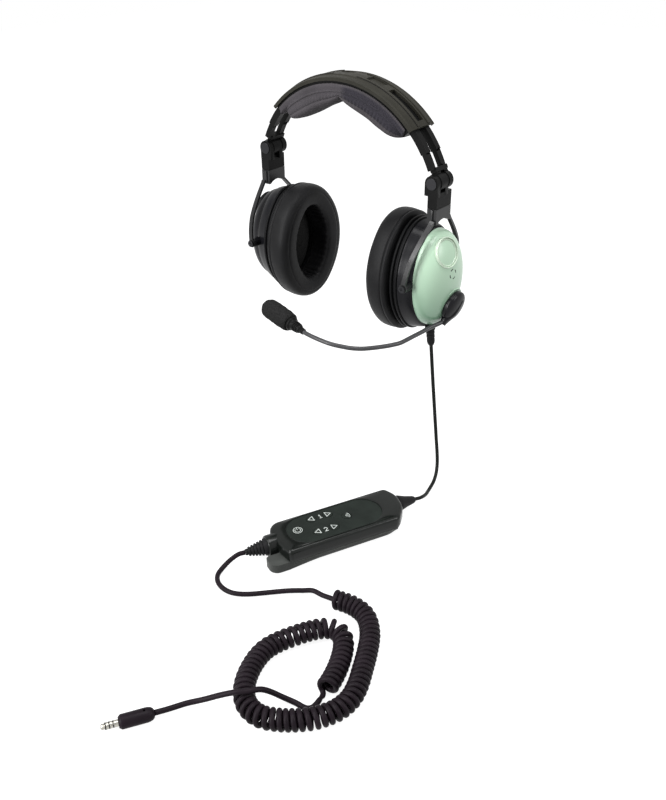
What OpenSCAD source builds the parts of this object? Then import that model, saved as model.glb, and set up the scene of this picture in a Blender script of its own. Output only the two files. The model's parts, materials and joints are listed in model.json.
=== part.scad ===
// Aviation headset with two noise-cancelling ear cups, a boom microphone, a folding headband,
// an inline cord module and a curly cord that ends in a barrel plug. Lengths are millimetres.
// The X axis points to the wearer's left, Y to the back and Z up. The origin lies midway between
// the ear cups, a little under their middle.

/* [Ear cups] */
// Half depth of a cup's oval, front to back
cup_a = 40; // [39:0.5:41]
// Half height of a cup's oval
cup_b = 54; // [51:0.5:56]
// Radius of the oval's rounded ends
cup_end_r = 30; // [29:0.5:32]
// Thickness of the ear seal cushion
seal_depth = 23; // [20:0.5:25]
// Width of the ear seal, from the outline to its opening
seal_width = 19; // [17:0.5:20]
// How far the ear seal stands out round the cup's outline
seal_out = 3; // [2:0.1:3.6]
// Thickness of the ribbed plate behind the ear seal
plate_depth = 9.5; // [9:0.5:11]
// Depth of the black cup shell
shell_depth = 13.5; // [12:0.5:16]
// Wall of the cup shell
shell_wall = 2.5; // [2:0.1:3]
// Draft of the cup shell over its depth
shell_draft = 3.5; // [2:0.1:4]
// Height of the coloured dome over the shell
dome_h = 21.4; // [19:0.2:24]
// Half depth of the dome's oval, front to back
dome_a = 33.4; // [32:0.1:33.4]
// Half height of the dome's oval
dome_b = 45.6; // [44:0.1:46]
// Wall of the dome
dome_wall = 2.2; // [1.8:0.1:2.6]
// Diameter of the speaker
speaker_d = 40; // [34:1:40]
// Thickness of the speaker baffle
baffle_t = 2; // [1.5:0.1:2.4]
// Diameter of the round medallion
medallion_d = 25; // [22:0.5:26]

/* [Yokes] */
// Height of the swivel split above the cup pivot
yoke_h = 65.3; // [62:0.1:68]
// Half distance between the yoke's two legs at the pivots
leg_y = 41.6; // [41:0.1:43]
// Thickness of a leg
leg_t = 2; // [1.8:0.1:2.6]
// Width of a leg
leg_w = 4.4; // [4:0.1:5.5]
// Diameter of the pivot screws
pivot_d = 3.2; // [2.6:0.1:3.6]
// Diameter of the swivel stud
stud_d = 7; // [6:0.1:8]
// Side of the square hub and hinge block, left to right
hub_x = 9.6; // [9:0.1:11]
// Half depth of the hub and hinge block, front to back
hub_y = 11.2; // [11:0.1:12]

/* [Hinges] */
// Height of the fold hinge above the swivel split
hinge_h = 21.2; // [20.6:0.1:24]
// Diameter of the hinge pin
hinge_pin_d = 5; // [4:0.1:6]
// Radius of the block's hinge ears
ear_r = 7; // [6.6:0.1:7.4]
// Radius of the arm's hinge barrels
barrel_r = 7.6; // [7.2:0.1:7.8]
// Width of each hinge ear
ear_w = 4.5; // [4:0.1:4.6]

/* [Headband] */
// Outer radius of the slider arms
arm_r = 106.5; // [104:0.5:110]
// Radial depth of the slider arms
arm_depth = 6.5; // [6:0.1:7]
// Width of each rail of an arm
rail_w = 6; // [5.5:0.1:6.5]
// Half width of the slot between an arm's rails
arm_slot = 4.5; // [4.3:0.1:5]
// Angle of the fold hinge from the top of the band
hinge_angle = 72.2; // [72:0.1:73]
// Angle of the band's ends from its top
band_angle = 46.6; // [44:0.2:48]
// Half width of the headband
band_y = 17; // [16.6:0.1:18]
// Crown of the headband across its width
band_crown = 3.2; // [2.6:0.1:4]
// Height of the pad below the band's inner frame, under each lobe
pad_depth = 15.7; // [13:0.1:17]

/* [Boom microphone] */
// Diameter of the boom tube
boom_d = 4; // [3.5:0.1:4.5]
// Diameter of the boom's swivel knob
knob_d = 29; // [26:0.5:30]
// Height of the swivel knob
knob_h = 9; // [8:0.1:10]
// Diameter of the knob's stem
knob_stem_d = 6; // [5:0.1:7]
// Diameter of the foam windscreen
windscreen_d = 18.5; // [17:0.1:21]
// Length of the foam windscreen
windscreen_l = 38; // [35:0.5:41]

/* [Cord module] */
// Length of the module's straight far side
module_l = 108; // [106:1:114]
// Width of the module
module_w = 46.5; // [46:0.5:49]
// Height of the module
module_h = 22; // [21.6:0.1:24]
// Height of the split between the module's cases
module_split = 10; // [9:0.1:11]
// Wall of the module's cases
module_wall = 2; // [1.6:0.1:2.2]
// Diameter of a battery cell
cell_d = 14.2; // [13.9:0.1:14.5]
// Length of a battery cell
cell_l = 50.2; // [49:0.1:50.5]
// Diameter of the keypad's keys
key_d = 9; // [8:0.1:9.4]
// Travel of the keypad's keys
key_travel = 0.7; // [0.5:0.05:0.8]

/* [Plug and cords] */
// Diameter of the plug's shaft
plug_d = 5.23; // [5.1:0.01:5.3]
// Length of the plug's shaft with its nose
plug_l = 13; // [12:0.1:16]
// Diameter of the plug's barrel
plug_barrel_d = 11; // [10:0.1:12]
// Length of the plug's barrel
plug_barrel_l = 26; // [22:0.5:30]
// Diameter of the cord from the cup to the module
down_cord_d = 3.3; // [2.8:0.1:3.6]
// Diameter of the cord from the module to the plug
cord_d = 3.6; // [3.2:0.1:3.8]
// Outer diameter of the curly cord
coil_d = 16.8; // [15.5:0.1:17]

/* [Clearances] */
// Gap between parts that slide or face each other
gap = 0.3; // [0.3:0.05:0.35]
// Radial clearance of a turning pin in its bore
running_fit = 0.05; // [0.04:0.01:0.08]
// Clearance around a piece that is dropped into a seat
seat_fit = 0.1; // [0.05:0.01:0.15]

/* [Hidden] */
$fn = 64;
round_fn = 96;
eps = 0.01;

// The fold hinge lies on the arms' arc, and everything below hangs from it.
cup_y = 2;
cup_z = 3;
pivot_z = cup_z + 2.4;
split_z = pivot_z + yoke_h;
hinge_z = split_z + hinge_h;
arm_mid_r = arm_r - 5;
hinge_x = arm_mid_r * sin(hinge_angle);
band_z = hinge_z - arm_mid_r * cos(hinge_angle);
swivel_x = hinge_x + 1.4;
pivot_x = hinge_x - 4.9;

// Places along a cup's axis, from its outer end inwards
dome_x = pivot_x + 2.3;
shell_x = dome_x - shell_depth;
plate_x = shell_x - plate_depth;
seal_x = plate_x - seal_depth;

// The cup's oval is four arcs that meet with common tangents.
cup_end_y = cup_b - cup_end_r;
cup_side_c = (pow(cup_end_y, 2) - pow(cup_a - cup_end_r, 2)) / (2 * (cup_a - cup_end_r));
cup_side_r = cup_a + cup_side_c;
cup_phi = atan2(cup_end_y, cup_side_c);

function arc(cx, cy, r, a0, a1, n = 6) =
    [for (i = [0:n]) let (t = a0 + (a1 - a0) * i / n) [cx + r * cos(t), cy + r * sin(t)]];
function unit(v) = v / norm(v);
function sum(v, i = 0) = i < len(v) ? v[i] + sum(v, i + 1) : 0;
function reversed(v) = [for (i = [len(v) - 1:-1:0]) v[i]];

// One rounded corner: an arc of radius r that touches both sides at the point p
function corner_arc(before, p, after, r, n) =
    let (
        a = unit(before - p),
        b = unit(after - p),
        half = acos(a * b) / 2,
        centre = p + unit(a + b) * r / sin(half),
        from = p + a * r / tan(half) - centre,
        to = p + b * r / tan(half) - centre,
        start = atan2(from[1], from[0]),
        turn = atan2(to[1], to[0]) - start,
        short = turn > 180 ? turn - 360 : turn < -180 ? turn + 360 : turn
    )
    [for (i = [0:n]) centre + r * [cos(start + short * i / n), sin(start + short * i / n)]];

// Corners are [x, y, radius]
function rounded(corners, n = 6) =
    let (m = len(corners))
    [for (i = [0:m - 1])
        for (p = corner_arc(
            [corners[(i + m - 1) % m][0], corners[(i + m - 1) % m][1]],
            [corners[i][0], corners[i][1]],
            [corners[(i + 1) % m][0], corners[(i + 1) % m][1]],
            corners[i][2], n)) p];

// A ribbon of constant width along a list of points
function ribbon_normal(pts, i) =
    let (d = unit(pts[min(i + 1, len(pts) - 1)] - pts[max(i - 1, 0)])) [-d[1], d[0]];
function ribbon(pts, w) = concat(
    [for (i = [0:len(pts) - 1]) pts[i] + ribbon_normal(pts, i) * w / 2],
    [for (i = [len(pts) - 1:-1:0]) pts[i] - ribbon_normal(pts, i) * w / 2]);

// A smooth curve through the points, with steps points to each span
function between(p0, p1, p2, p3, t) = 0.5 * (
    2 * p1 + (p2 - p0) * t + (2 * p0 - 5 * p1 + 4 * p2 - p3) * t * t
    + (3 * p1 - p0 - 3 * p2 + p3) * t * t * t);
function smooth(pts, steps) =
    let (m = len(pts) - 1)
    concat([for (i = [0:m - 1]) for (k = [0:steps - 1])
        between(pts[max(i - 1, 0)], pts[i], pts[i + 1], pts[min(i + 2, m)], k / steps)], [pts[m]]);

// Faces of a closed tube of rings with the same number of points
function tube_faces(rings, sides) = concat(
    [for (k = [0:rings - 2]) for (j = [0:sides - 1])
        [k * sides + j, (k + 1) * sides + j, (k + 1) * sides + (j + 1) % sides]],
    [for (k = [0:rings - 2]) for (j = [0:sides - 1])
        [k * sides + j, (k + 1) * sides + (j + 1) % sides, k * sides + (j + 1) % sides]],
    [for (j = [1:sides - 2]) [0, j, j + 1]],
    [for (j = [1:sides - 2])
        [(rings - 1) * sides, (rings - 1) * sides + j + 1, (rings - 1) * sides + j]]);

// Each ring's side vector is the one before it, turned as little as the bend asks for.
function along(pts, i) = unit(pts[min(i + 1, len(pts) - 1)] - pts[max(i - 1, 0)]);
function square_to(v, t) = unit(v - (v * t) * t);
function side_vectors(pts, first) =
    [for (i = 0, v = square_to(first, along(pts, 0)); i < len(pts);
        i = i + 1, v = i < len(pts) ? square_to(v, along(pts, i)) : v) v];
module swept(pts, r, sides, first = [0, 0, 1]) {
    side = side_vectors(pts, first);
    points = [for (i = [0:len(pts) - 1])
        let (t = along(pts, i), u = side[i], w = cross(t, u))
        for (j = [0:sides - 1])
            pts[i] + r * (cos(360 * j / sides) * u + sin(360 * j / sides) * w)];
    polyhedron(points, tube_faces(len(pts), sides), convexity = 10);
}

// Left pieces are drawn as they lie, right pieces as their mirror image.
module on_side(side) {
    if (side > 0) children();
    else mirror([1, 0, 0]) children();
}

// In the cup's own frame x runs to the back, y up and z outwards.
module cup_frame() {
    translate([0, cup_y, cup_z]) rotate([90, 0, 90]) children();
}

// Oval plate between two places on the cup's axis
module oval_slab(inset, z0, z1) {
    h = z1 - z0;
    side_r = cup_side_r - inset;
    flat_y = side_r * sin(cup_phi);
    translate([0, 0, z0]) {
        for (s = [-1, 1]) translate([0, s * cup_end_y, 0])
            cylinder(r = cup_end_r - inset, h = h, $fn = round_fn);
        intersection() {
            translate([-cup_side_c, 0, 0]) cylinder(r = side_r, h = h, $fn = 2 * round_fn);
            translate([cup_side_c, 0, 0]) cylinder(r = side_r, h = h, $fn = 2 * round_fn);
            translate([-cup_a, -flat_y, 0]) cube([2 * cup_a, 2 * flat_y, h]);
        }
    }
}

// Sweeps a profile round the oval. Its x is the offset from the outline, its y the cup's axis.
// Each arc is a whole ring, cut where the arcs meet: on the line through their two centres.
module oval_sweep() {
    far = 3;
    joint = [far * cup_side_c - cup_side_c, far * cup_end_y];
    top = 200;
    for (s = [0, 180]) rotate([0, 0, s]) {
        intersection() {
            translate([0, cup_end_y, 0]) rotate_extrude($fn = round_fn)
                translate([cup_end_r, 0]) children();
            linear_extrude(height = top) polygon([[0, cup_end_y], joint, [-joint[0], joint[1]]]);
        }
        intersection() {
            translate([-cup_side_c, 0, 0]) rotate_extrude($fn = 2 * round_fn)
                translate([cup_side_r, 0]) children();
            linear_extrude(height = top)
                polygon([[0, cup_end_y], [0, -cup_end_y], [joint[0], -joint[1]], joint]);
        }
    }
}

// ---- Ear cups ----

// The cushion bulges twice on its side, with a seam between, and has a piped edge.
plate_neck = 3.4;
module ear_seal(side) {
    well = -seal_width;
    seam = plate_x - 4.4;
    color([0.09, 0.09, 0.1]) on_side(side) cup_frame() oval_sweep() polygon(concat(
        [[well, plate_x], [well + 1.2, plate_x - 7], [well + 0.2, seal_x + 7]],
        arc(well + 6.4, seal_x + 6.4, 6.4, 180, 262, 4),
        [[seal_out - 7, seal_x + 0.3]],
        arc(seal_out - 4.9, seal_x + 5, 4.4, 262, 350, 4),
        arc(seal_out - 0.9, seal_x + 4.9, 0.5, -60, 60, 2),
        [[seal_out - 0.3, seal_x + 7], [seal_out, seal_x + 10], [seal_out - 0.3, seam - 1.6]],
        [[seal_out - 1.1, seam], [seal_out - 0.5, seam + 1.4], [seal_out - 0.9, seam + 2.8]],
        [[seal_out - 2.4, seam + 3.9], [-plate_neck, plate_x]]));
}

// Behind the ear seal a neck and two ridges with a groove between them lead to the shell.
module seal_plate(side) {
    color([0.08, 0.08, 0.09]) on_side(side) cup_frame() {
        oval_sweep() polygon([
            [-seal_width, plate_x], [-plate_neck, plate_x], [-plate_neck, plate_x + 2.2],
            [-0.5, plate_x + 2.6], [-0.5, plate_x + 4.6], [-3, plate_x + 5.2], [-3, plate_x + 6.8],
            [-1, plate_x + 7.3], [-1, shell_x], [-seal_width, shell_x]]);
    }
}

module pivot_place(front) {
    translate([pivot_x, front * leg_y, pivot_z]) rotate([front * -90, 0, 0]) children();
}

// Bosses stand on the shell at the front and the back, up to the yoke's legs.
boss_gap = leg_t / 2 + gap;
boss_r = 4;
boss_l = 14;
screw_l = 8;
shell_inset = 2.5;
shell_top_inset = shell_inset + shell_draft;
gland_boss_r = 4.6;
module cup_shell(side) {
    rim = 9;
    roof = dome_x - shell_wall;
    color([0.05, 0.05, 0.055]) on_side(side) difference() {
        union() {
            cup_frame() oval_sweep() polygon([
                [-shell_wall - shell_inset, shell_x], [-shell_inset, shell_x],
                [-shell_top_inset, dome_x], [-shell_top_inset - rim, dome_x],
                [-shell_top_inset - rim, roof], [-shell_top_inset - shell_wall, roof]]);
            difference() {
                union() {
                    for (front = [-1, 1]) pivot_place(front) translate([0, 0, -boss_gap - boss_l])
                        cylinder(r = boss_r, h = boss_l, $fn = 32);
                    if (side > 0) gland_frame() translate([0, 0, -4])
                        cylinder(r = gland_boss_r, h = 4 - eps, $fn = 32);
                }
                cup_frame() {
                    oval_slab(shell_top_inset + shell_wall, shell_x, dome_x + 1);
                    oval_slab(cup_a - dome_a - dome_y - seat_fit, dome_x, dome_x + dome_h);
                }
            }
        }
        for (front = [-1, 1]) pivot_place(front) translate([0, 0, -boss_gap - screw_l - 0.2])
            cylinder(d = pivot_d, h = screw_l + 4, $fn = 32);
        if (side > 0) gland_frame() translate([0, 0, -8])
            cylinder(r = gland_neck_r, h = 10, $fn = 32);
    }
}

module baffle(side) {
    wall_lean = shell_draft * baffle_t / (shell_depth - shell_wall);
    color([0.15, 0.15, 0.16]) on_side(side) cup_frame() {
        difference() {
            oval_slab(shell_inset + shell_wall + wall_lean + seat_fit, shell_x, shell_x + baffle_t);
            translate([0, 0, shell_x - 1]) cylinder(d = speaker_d + 2 * seat_fit, h = baffle_t + 2);
        }
        for (x = [-14, 14], y = [-27, 27]) translate([x, y, shell_x + baffle_t])
            cylinder(r = 2, h = board_x - shell_x - baffle_t, $fn = 32);
    }
}

// The speaker looks through the baffle. Its flange lies on the baffle's back, before the magnet.
magnet_d = 24;
module speaker(side) {
    flange_t = 1.2;
    color([0.3, 0.3, 0.32]) on_side(side) cup_frame() {
        translate([0, 0, shell_x + eps]) cylinder(d = speaker_d, h = baffle_t + flange_t);
        translate([0, 0, shell_x + baffle_t + eps]) cylinder(d = speaker_d + 4, h = flange_t);
        translate([0, 0, shell_x + baffle_t]) cylinder(d = magnet_d, h = board_x - shell_x - baffle_t - 1);
    }
}

// The foam disc fills the plate's opening in front of the speaker.
module foam(side) {
    color([0.12, 0.12, 0.12]) on_side(side) cup_frame()
        oval_slab(seal_width + seat_fit, plate_x + 1, shell_x - eps);
}

board_x = shell_x + 9;
board_t = 1.6;
module noise_board(side) {
    color([0.1, 0.35, 0.2]) on_side(side) cup_frame() translate([-18, -31, board_x])
        cube([36, 62, board_t]);
}

// A superellipsoid: the height falls as a power of the distance from the dome's edge.
dome_power = 0.82;
dome_y = 0.7;
dome_z = 0.2;
function dome_points(a, b, h, rings, sides) = concat(
    [for (k = [0:rings - 1]) let (t = 90 * k / rings) for (j = [0:sides - 1])
        [a * cos(t) * cos(360 * j / sides), b * cos(t) * sin(360 * j / sides),
            h * pow(sin(t), dome_power)]],
    [[0, 0, h]]);
module dome_solid(a, b, h) {
    rings = 7;
    sides = 32;
    points = dome_points(a, b, h, rings, sides);
    apex = rings * sides;
    translate([dome_y, dome_z, dome_x]) polyhedron(points, concat(
        [[for (j = [0:sides - 1]) j]],
        [for (k = [0:rings - 2]) for (j = [0:sides - 1])
            [k * sides + j, (k + 1) * sides + (j + 1) % sides, k * sides + (j + 1) % sides]],
        [for (k = [0:rings - 2]) for (j = [0:sides - 1])
            [k * sides + j, (k + 1) * sides + j, (k + 1) * sides + (j + 1) % sides]],
        [for (j = [0:sides - 1]) [(rings - 1) * sides + j, apex, (rings - 1) * sides + (j + 1) % sides]]));
}

// The medallion sits high on the dome and faces a little up and forward.
medallion_at = [dome_x + 17.2, -2.5, cup_z + 28.8];
medallion_tilt = [0, 71.9, -6.7];
medallion_t = 1.6;
module medallion_frame() {
    translate(medallion_at) rotate(medallion_tilt) children();
}

// The knob's axis leans down by its tilt, square to the dome under it.
knob_tilt = 15;
knob_at = [dome_x + 17.5, 7, cup_z - 24];
module knob_frame() {
    translate(knob_at) rotate([0, 90 + knob_tilt, 0]) children();
}
hub_l = 8;
hub_r = knob_stem_d / 2 + 2.5;

module dome(side) {
    vent_at = [dome_x + dome_h - 3, 1.8, cup_z + 8.2];
    color(side > 0 ? [0.62, 0.8, 0.68] : [0.05, 0.05, 0.055]) on_side(side) difference() {
        union() {
            cup_frame() difference() {
                dome_solid(dome_a, dome_b, dome_h);
                translate([0, 0, -eps])
                    dome_solid(dome_a - dome_wall, dome_b - dome_wall, dome_h - dome_wall);
            }
            medallion_frame() translate([0, 0, -4.4])
                cylinder(d = medallion_d + 3.2, h = 4.4 + 0.2, $fn = 48);
            if (side > 0) knob_frame() translate([0, 0, -5])
                cylinder(d = knob_d + 3, h = 5, $fn = 48);
        }
        medallion_frame() translate([0, 0, -medallion_t])
            cylinder(d = medallion_d + 2 * seat_fit, h = 9, $fn = 48);
        if (side > 0) knob_frame() {
            cylinder(d = knob_d + 4 * gap, h = 12, $fn = 48);
            translate([0, 0, -6]) cylinder(r = hub_r, h = 8, $fn = 48);
        }
        for (k = [0:3]) translate(vent_at) rotate([90 * k + 20, 0, 0]) translate([0, -1.2, 3.6])
            cube([6, 2.4, 0.9]);
    }
}

module medallion(side) {
    rim = 1.4;
    color(side > 0 ? [0.7, 0.85, 0.75] : [0.08, 0.08, 0.09]) on_side(side) medallion_frame() {
        translate([0, 0, -medallion_t]) cylinder(d = medallion_d, h = medallion_t - 0.5, $fn = 48);
        translate([0, 0, -0.6]) difference() {
            cylinder(d = medallion_d, h = 0.6, $fn = 48);
            translate([0, 0, -1]) cylinder(d = medallion_d - 2 * rim, h = 3, $fn = 48);
        }
    }
}

module pivot_screws(side) {
    head_z = leg_t / 2 + gap;
    head_h = 1.5;
    cross = [3.2, 0.8, 2];
    color([0.35, 0.35, 0.37]) on_side(side) for (front = [-1, 1]) pivot_place(front) difference() {
        union() {
            translate([0, 0, -boss_gap - screw_l])
                cylinder(d = pivot_d, h = boss_gap + screw_l + head_z, $fn = 32);
            translate([0, 0, head_z]) cylinder(d = pivot_d + 3.2, h = head_h, $fn = 32);
        }
        for (t = [0, 90]) rotate([0, 0, t])
            translate([-cross[0] / 2, -cross[1] / 2, head_z + head_h / 2]) cube(cross);
    }
}

// ---- Boom microphone ----

module boom_hub() {
    color([0.2, 0.2, 0.2]) knob_frame() translate([0, 0, -hub_l]) difference() {
        cylinder(r = hub_r - eps, h = hub_l - eps, $fn = 48);
        translate([0, 0, -1]) cylinder(d = knob_stem_d + 2 * running_fit, h = hub_l + 2);
    }
}

// The boom's route starts in the knob's lug. Its places are measured from the knob.
boom_route = [
    [-0.5, -10.1, -13.5], [-2.2, -16, -14.5], [-5.6, -25.7, -16], [-7.4, -35, -17.2], [-9.1, -44.2, -18],
    [-10.5, -53, -18.7], [-11.8, -61.7, -19], [-15.2, -69.6, -19], [-19.4, -76.7, -19],
    [-24.5, -85, -18.6], [-30.1, -93, -18], [-37, -99.2, -17.2], [-44.5, -103, -16.5],
    [-51, -105.8, -15.8], [-57.9, -107.7, -15], [-67, -108.8, -14], [-75.6, -109, -13.2],
    [-82.64, -108.44, -12.63], [-88.5, -107.3, -12]];
boom_points = [for (p = boom_route) p + knob_at];
boom_sides = 10;
lug_angle = -37.5;

// A domed round knob with a stem, and a lug in which the boom is held
module boom_knob() {
    wall_h = 3.6;
    lug_from = 9;
    lug_to = 19;
    lug_lean = 8;
    color([0.05, 0.05, 0.06]) knob_frame() {
        rotate_extrude($fn = round_fn) polygon(concat(
            [[0, gap], [knob_d / 2 - 0.6, gap], [knob_d / 2, gap + 0.6], [knob_d / 2, wall_h]],
            [for (k = [1:8]) let (t = 90 * k / 8)
                [knob_d / 2 * cos(t), wall_h + (knob_h - wall_h) * sin(t)]]));
        translate([0, 0, -hub_l - gap]) cylinder(d = knob_stem_d, h = hub_l + 2 * gap + 1);
        translate([0, 0, -hub_l - gap - 1.2]) cylinder(d = knob_stem_d + 1.4, h = 1.2);
        difference() {
            rotate([0, 0, lug_angle]) difference() {
                union() {
                    translate([lug_from, 0, 4.3]) rotate([0, 90 + lug_lean, 0])
                        cylinder(r1 = 3.6, r2 = 3.1, h = lug_to - lug_from, $fn = 32);
                    translate([6, -2.2, 3]) cube([8, 4.4, 4.6]);
                }
                translate([0, -5, gap - 5]) cube([lug_to + 5, 10, 5]);
            }
            swept_boom();
        }
    }
}

// The boom in the knob's own frame
module swept_boom() {
    rotate([0, -90 - knob_tilt, 0]) translate(-knob_at) swept(boom_points, boom_d / 2, boom_sides);
}

module boom_arm() {
    color([0.12, 0.12, 0.13]) swept(boom_points, boom_d / 2, boom_sides);
}

// The microphone's own frame starts at the boom's end, with z towards the foam's tip.
boom_end = boom_points[len(boom_points) - 1];
mic_l = 17;
module mic_frame() {
    translate(boom_end) rotate([0, -84, -11]) children();
}
module mic_bracket() {
    color([0.06, 0.06, 0.06]) mic_frame() difference() {
        rotate_extrude() polygon([
            [0, eps], [3, eps], [3.6, 1], [4.6, 10], [6, 12.4], [6.4, 13], [6.4, 14.6], [5, 15],
            [5, mic_l], [0, mic_l]]);
        translate([0, 0, mic_l - 1.6]) cylinder(r = 3.4, h = 3);
    }
}
module mic_capsule() {
    color([0.4, 0.4, 0.42]) mic_frame() translate([0, 0, mic_l - 1.6])
        cylinder(r = 3.4 - eps, h = 12);
}

// A foam cap over the capsule: a round end, a thumb's width of straight side and a soft rim
module windscreen() {
    r = windscreen_d / 2;
    start = 15;
    end = start + windscreen_l;
    color([0.1, 0.1, 0.1]) mic_frame() difference() {
        rotate_extrude() polygon(concat(
            [[0, start + 2], [5, start], [7.6, start], [r - 0.6, start + 2.4]],
            [[r, start + 8], [r, end - 7]],
            [for (k = [1:6]) let (t = 90 * k / 6) [r - 7 + 7 * cos(t), end - 7 + 7 * sin(t)]],
            [[0, end]]));
        translate([0, 0, start - 1]) cylinder(r = 5, h = mic_l - start + 1);
        translate([0, 0, start - 1]) cylinder(r = 3.4, h = mic_l - start + 11.4);
    }
}

// ---- Yokes, hinges and slider arms ----

// Half of a leg's middle line, as shares of its distance from the mid-plane at the pivot and of
// the height over the pivot at which it meets the hub
leg_lean = 8.6;
hub_h = 13.4;
leg_top = yoke_h - gap - hub_h + 0.6;
leg_shape = [
    [0.288, 1.063], [0.346, 1], [0.541, 0.824], [0.716, 0.649], [0.865, 0.464], [0.959, 0.264],
    [1, 0.096], [1, 0]];
function leg_line() = smooth([for (p = leg_shape) [p[0] * leg_y, p[1] * leg_top]], 3);

module yoke(side) {
    hub_top = yoke_h - gap;
    hub_bottom = hub_top - hub_h;
    stud_l = 9.5;
    arch_r = 14.4;
    arch_drop = 11;
    color([0.1, 0.1, 0.11]) on_side(side) difference() {
        union() {
            translate([pivot_x, 0, pivot_z]) rotate([0, leg_lean, 0]) for (front = [-1, 1])
                mirror([0, front < 0 ? 1 : 0, 0]) rotate([90, 0, 90])
                    linear_extrude(height = leg_w, center = true) polygon(ribbon(leg_line(), leg_t));
            for (front = [-1, 1]) pivot_place(front)
                translate([0, 0, -leg_t / 2]) cylinder(r = 4, h = leg_t, $fn = 48);
            translate([swivel_x - hub_x / 2, 0, pivot_z]) rotate([90, 0, 90])
                linear_extrude(height = hub_x) polygon(concat(
                    [[hub_y, hub_top], [-hub_y, hub_top]],
                    [[-hub_y, hub_bottom]],
                    arc(0, hub_bottom - arch_drop, arch_r, 130, 50, 8),
                    [[hub_y, hub_bottom]]));
            translate([swivel_x - 2, -hub_y - 1.2, pivot_z + hub_bottom + 2]) cube([3.6, 2, 11]);
            translate([swivel_x, 0, pivot_z + hub_top - 1]) cylinder(d = stud_d, h = stud_l + 1);
        }
        for (front = [-1, 1]) pivot_place(front) translate([0, 0, -leg_t])
            cylinder(d = pivot_d + 2 * running_fit, h = 2 * leg_t, $fn = 48);
    }
}

// Ears at the front and in the middle take the pin, and the arm's barrels lie between.
front_ear = -hub_y;
mid_ear = 0.9;
block_top = hinge_h - barrel_r - gap;
module hinge_block(side) {
    color([0.09, 0.09, 0.1]) on_side(side) difference() {
        union() {
            translate([swivel_x - hub_x / 2, -hub_y, split_z]) cube([hub_x, 2 * hub_y, block_top]);
            for (y = [front_ear, mid_ear]) translate([0, y, 0]) {
                translate([hinge_x, 0, hinge_z]) rotate([-90, 0, 0]) cylinder(r = ear_r, h = ear_w);
                translate([hinge_x - ear_r, 0, split_z + block_top - 3])
                    cube([2 * ear_r - 0.6, ear_w, hinge_h - block_top + 3]);
            }
        }
        translate([swivel_x, 0, split_z - 1]) cylinder(d = stud_d + 2 * running_fit, h = 11.5);
        translate([hinge_x, -hub_y - 1, hinge_z]) rotate([-90, 0, 0])
            cylinder(d = hinge_pin_d, h = 2 * hub_y + 2);
    }
}

module hinge_pin(side) {
    color([0.25, 0.25, 0.26]) on_side(side) translate([hinge_x, 0, hinge_z]) rotate([-90, 0, 0]) {
        translate([0, 0, -hub_y]) cylinder(d = hinge_pin_d, h = 2 * hub_y + 1);
        translate([0, 0, -hub_y - 0.8]) cylinder(r = 5.2, h = 0.8);
        translate([0, 0, hub_y + gap]) cylinder(r = 4, h = 0.8);
    }
}

// A block between two radii about the band's centre, with angles taken from the band's top
module arc_block(r0, r1, y0, y1, a0, a1) {
    translate([0, 0, band_z]) rotate([90, 0, 0]) rotate([0, 0, 90 - a1])
        rotate_extrude(angle = a1 - a0, $fn = 3 * round_fn)
            translate([r0, -y1]) square([r1 - r0, y1 - y0]);
}

arm_in = arm_r - arm_depth;
arm_start = 24;
arm_web = 65.4;
arm_front = -arm_slot - 0.5 - rail_w;
arm_back = arm_slot - 0.5;
step_at = 58;
module slider_arm(side) {
    color([0.08, 0.08, 0.085]) on_side(side) difference() {
        union() {
            for (y = [arm_front, arm_back]) {
                arc_block(arm_in, arm_r, y, y + rail_w, arm_start, step_at);
                arc_block(arm_in + 0.9, arm_r - 0.9, y, y + rail_w, step_at - 0.5, arm_web + 0.7);
            }
            arc_block(arm_in, arm_r, -6.4, hub_y - 0.4, arm_web, arm_web + 2);
            for (y = [[-6.4, mid_ear - gap], [mid_ear + ear_w + gap, hub_y]]) {
                translate([hinge_x, y[0], hinge_z]) rotate([-90, 0, 0])
                    cylinder(r = barrel_r, h = y[1] - y[0]);
                arc_block(arm_in + 0.5, arm_r - 1, y[0] + 0.2, y[1] - 0.2, arm_web + 0.5, hinge_angle);
            }
        }
        translate([hinge_x, -hub_y - 1, hinge_z]) rotate([-90, 0, 0])
            cylinder(d = hinge_pin_d + 2 * running_fit, h = 2 * hub_y + 2);
    }
}

// ---- Headband ----

shell_in = arm_r + 0.4;
shell_edge = 1.1;
slot_y = 4;
// The shell's section: [distance from the mid-plane, height over the arms' outer face]
function shell_half() = [
    [band_y, -1.8], [band_y, shell_edge], [band_y - 1.4, shell_edge + 0.6],
    [band_y - 2.2, shell_edge + 0.3], [band_y - 7.2, band_crown * 0.72],
    [band_y - 7.5, band_crown * 0.9], [band_y - 8.9, band_crown * 0.98],
    [band_y - 9.3, band_crown * 0.84]];
module band_shell() {
    inner_y = band_y - 1.8;
    color([0.12, 0.13, 0.12]) difference() {
        translate([0, 0, band_z]) rotate([90, 0, 0]) rotate([0, 0, 90 - band_angle])
            rotate_extrude(angle = 2 * band_angle, $fn = 3 * round_fn) polygon(concat(
                [for (p = shell_half()) [arm_r + p[1], p[0]]],
                [[arm_r + band_crown + 0.3, 0]],
                [for (p = reversed(shell_half())) [arm_r + p[1], -p[0]]],
                [[arm_r - 1.8, -inner_y], [shell_in, -inner_y], [shell_in, inner_y],
                    [arm_r - 1.8, inner_y]]));
        for (side = [-1, 1]) on_side(side)
            arc_block(shell_in - 1, arm_r + 8, -slot_y - 0.4, slot_y - 0.4, 24, band_angle - 3);
        arc_block(shell_in + 1.2, arm_r + 8, -5.5, 5.5, 11, 20);
        arc_block(shell_in + 1.6, arm_r + 8, -2.2, 7.4, -4.6, 1.5);
    }
}

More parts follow.
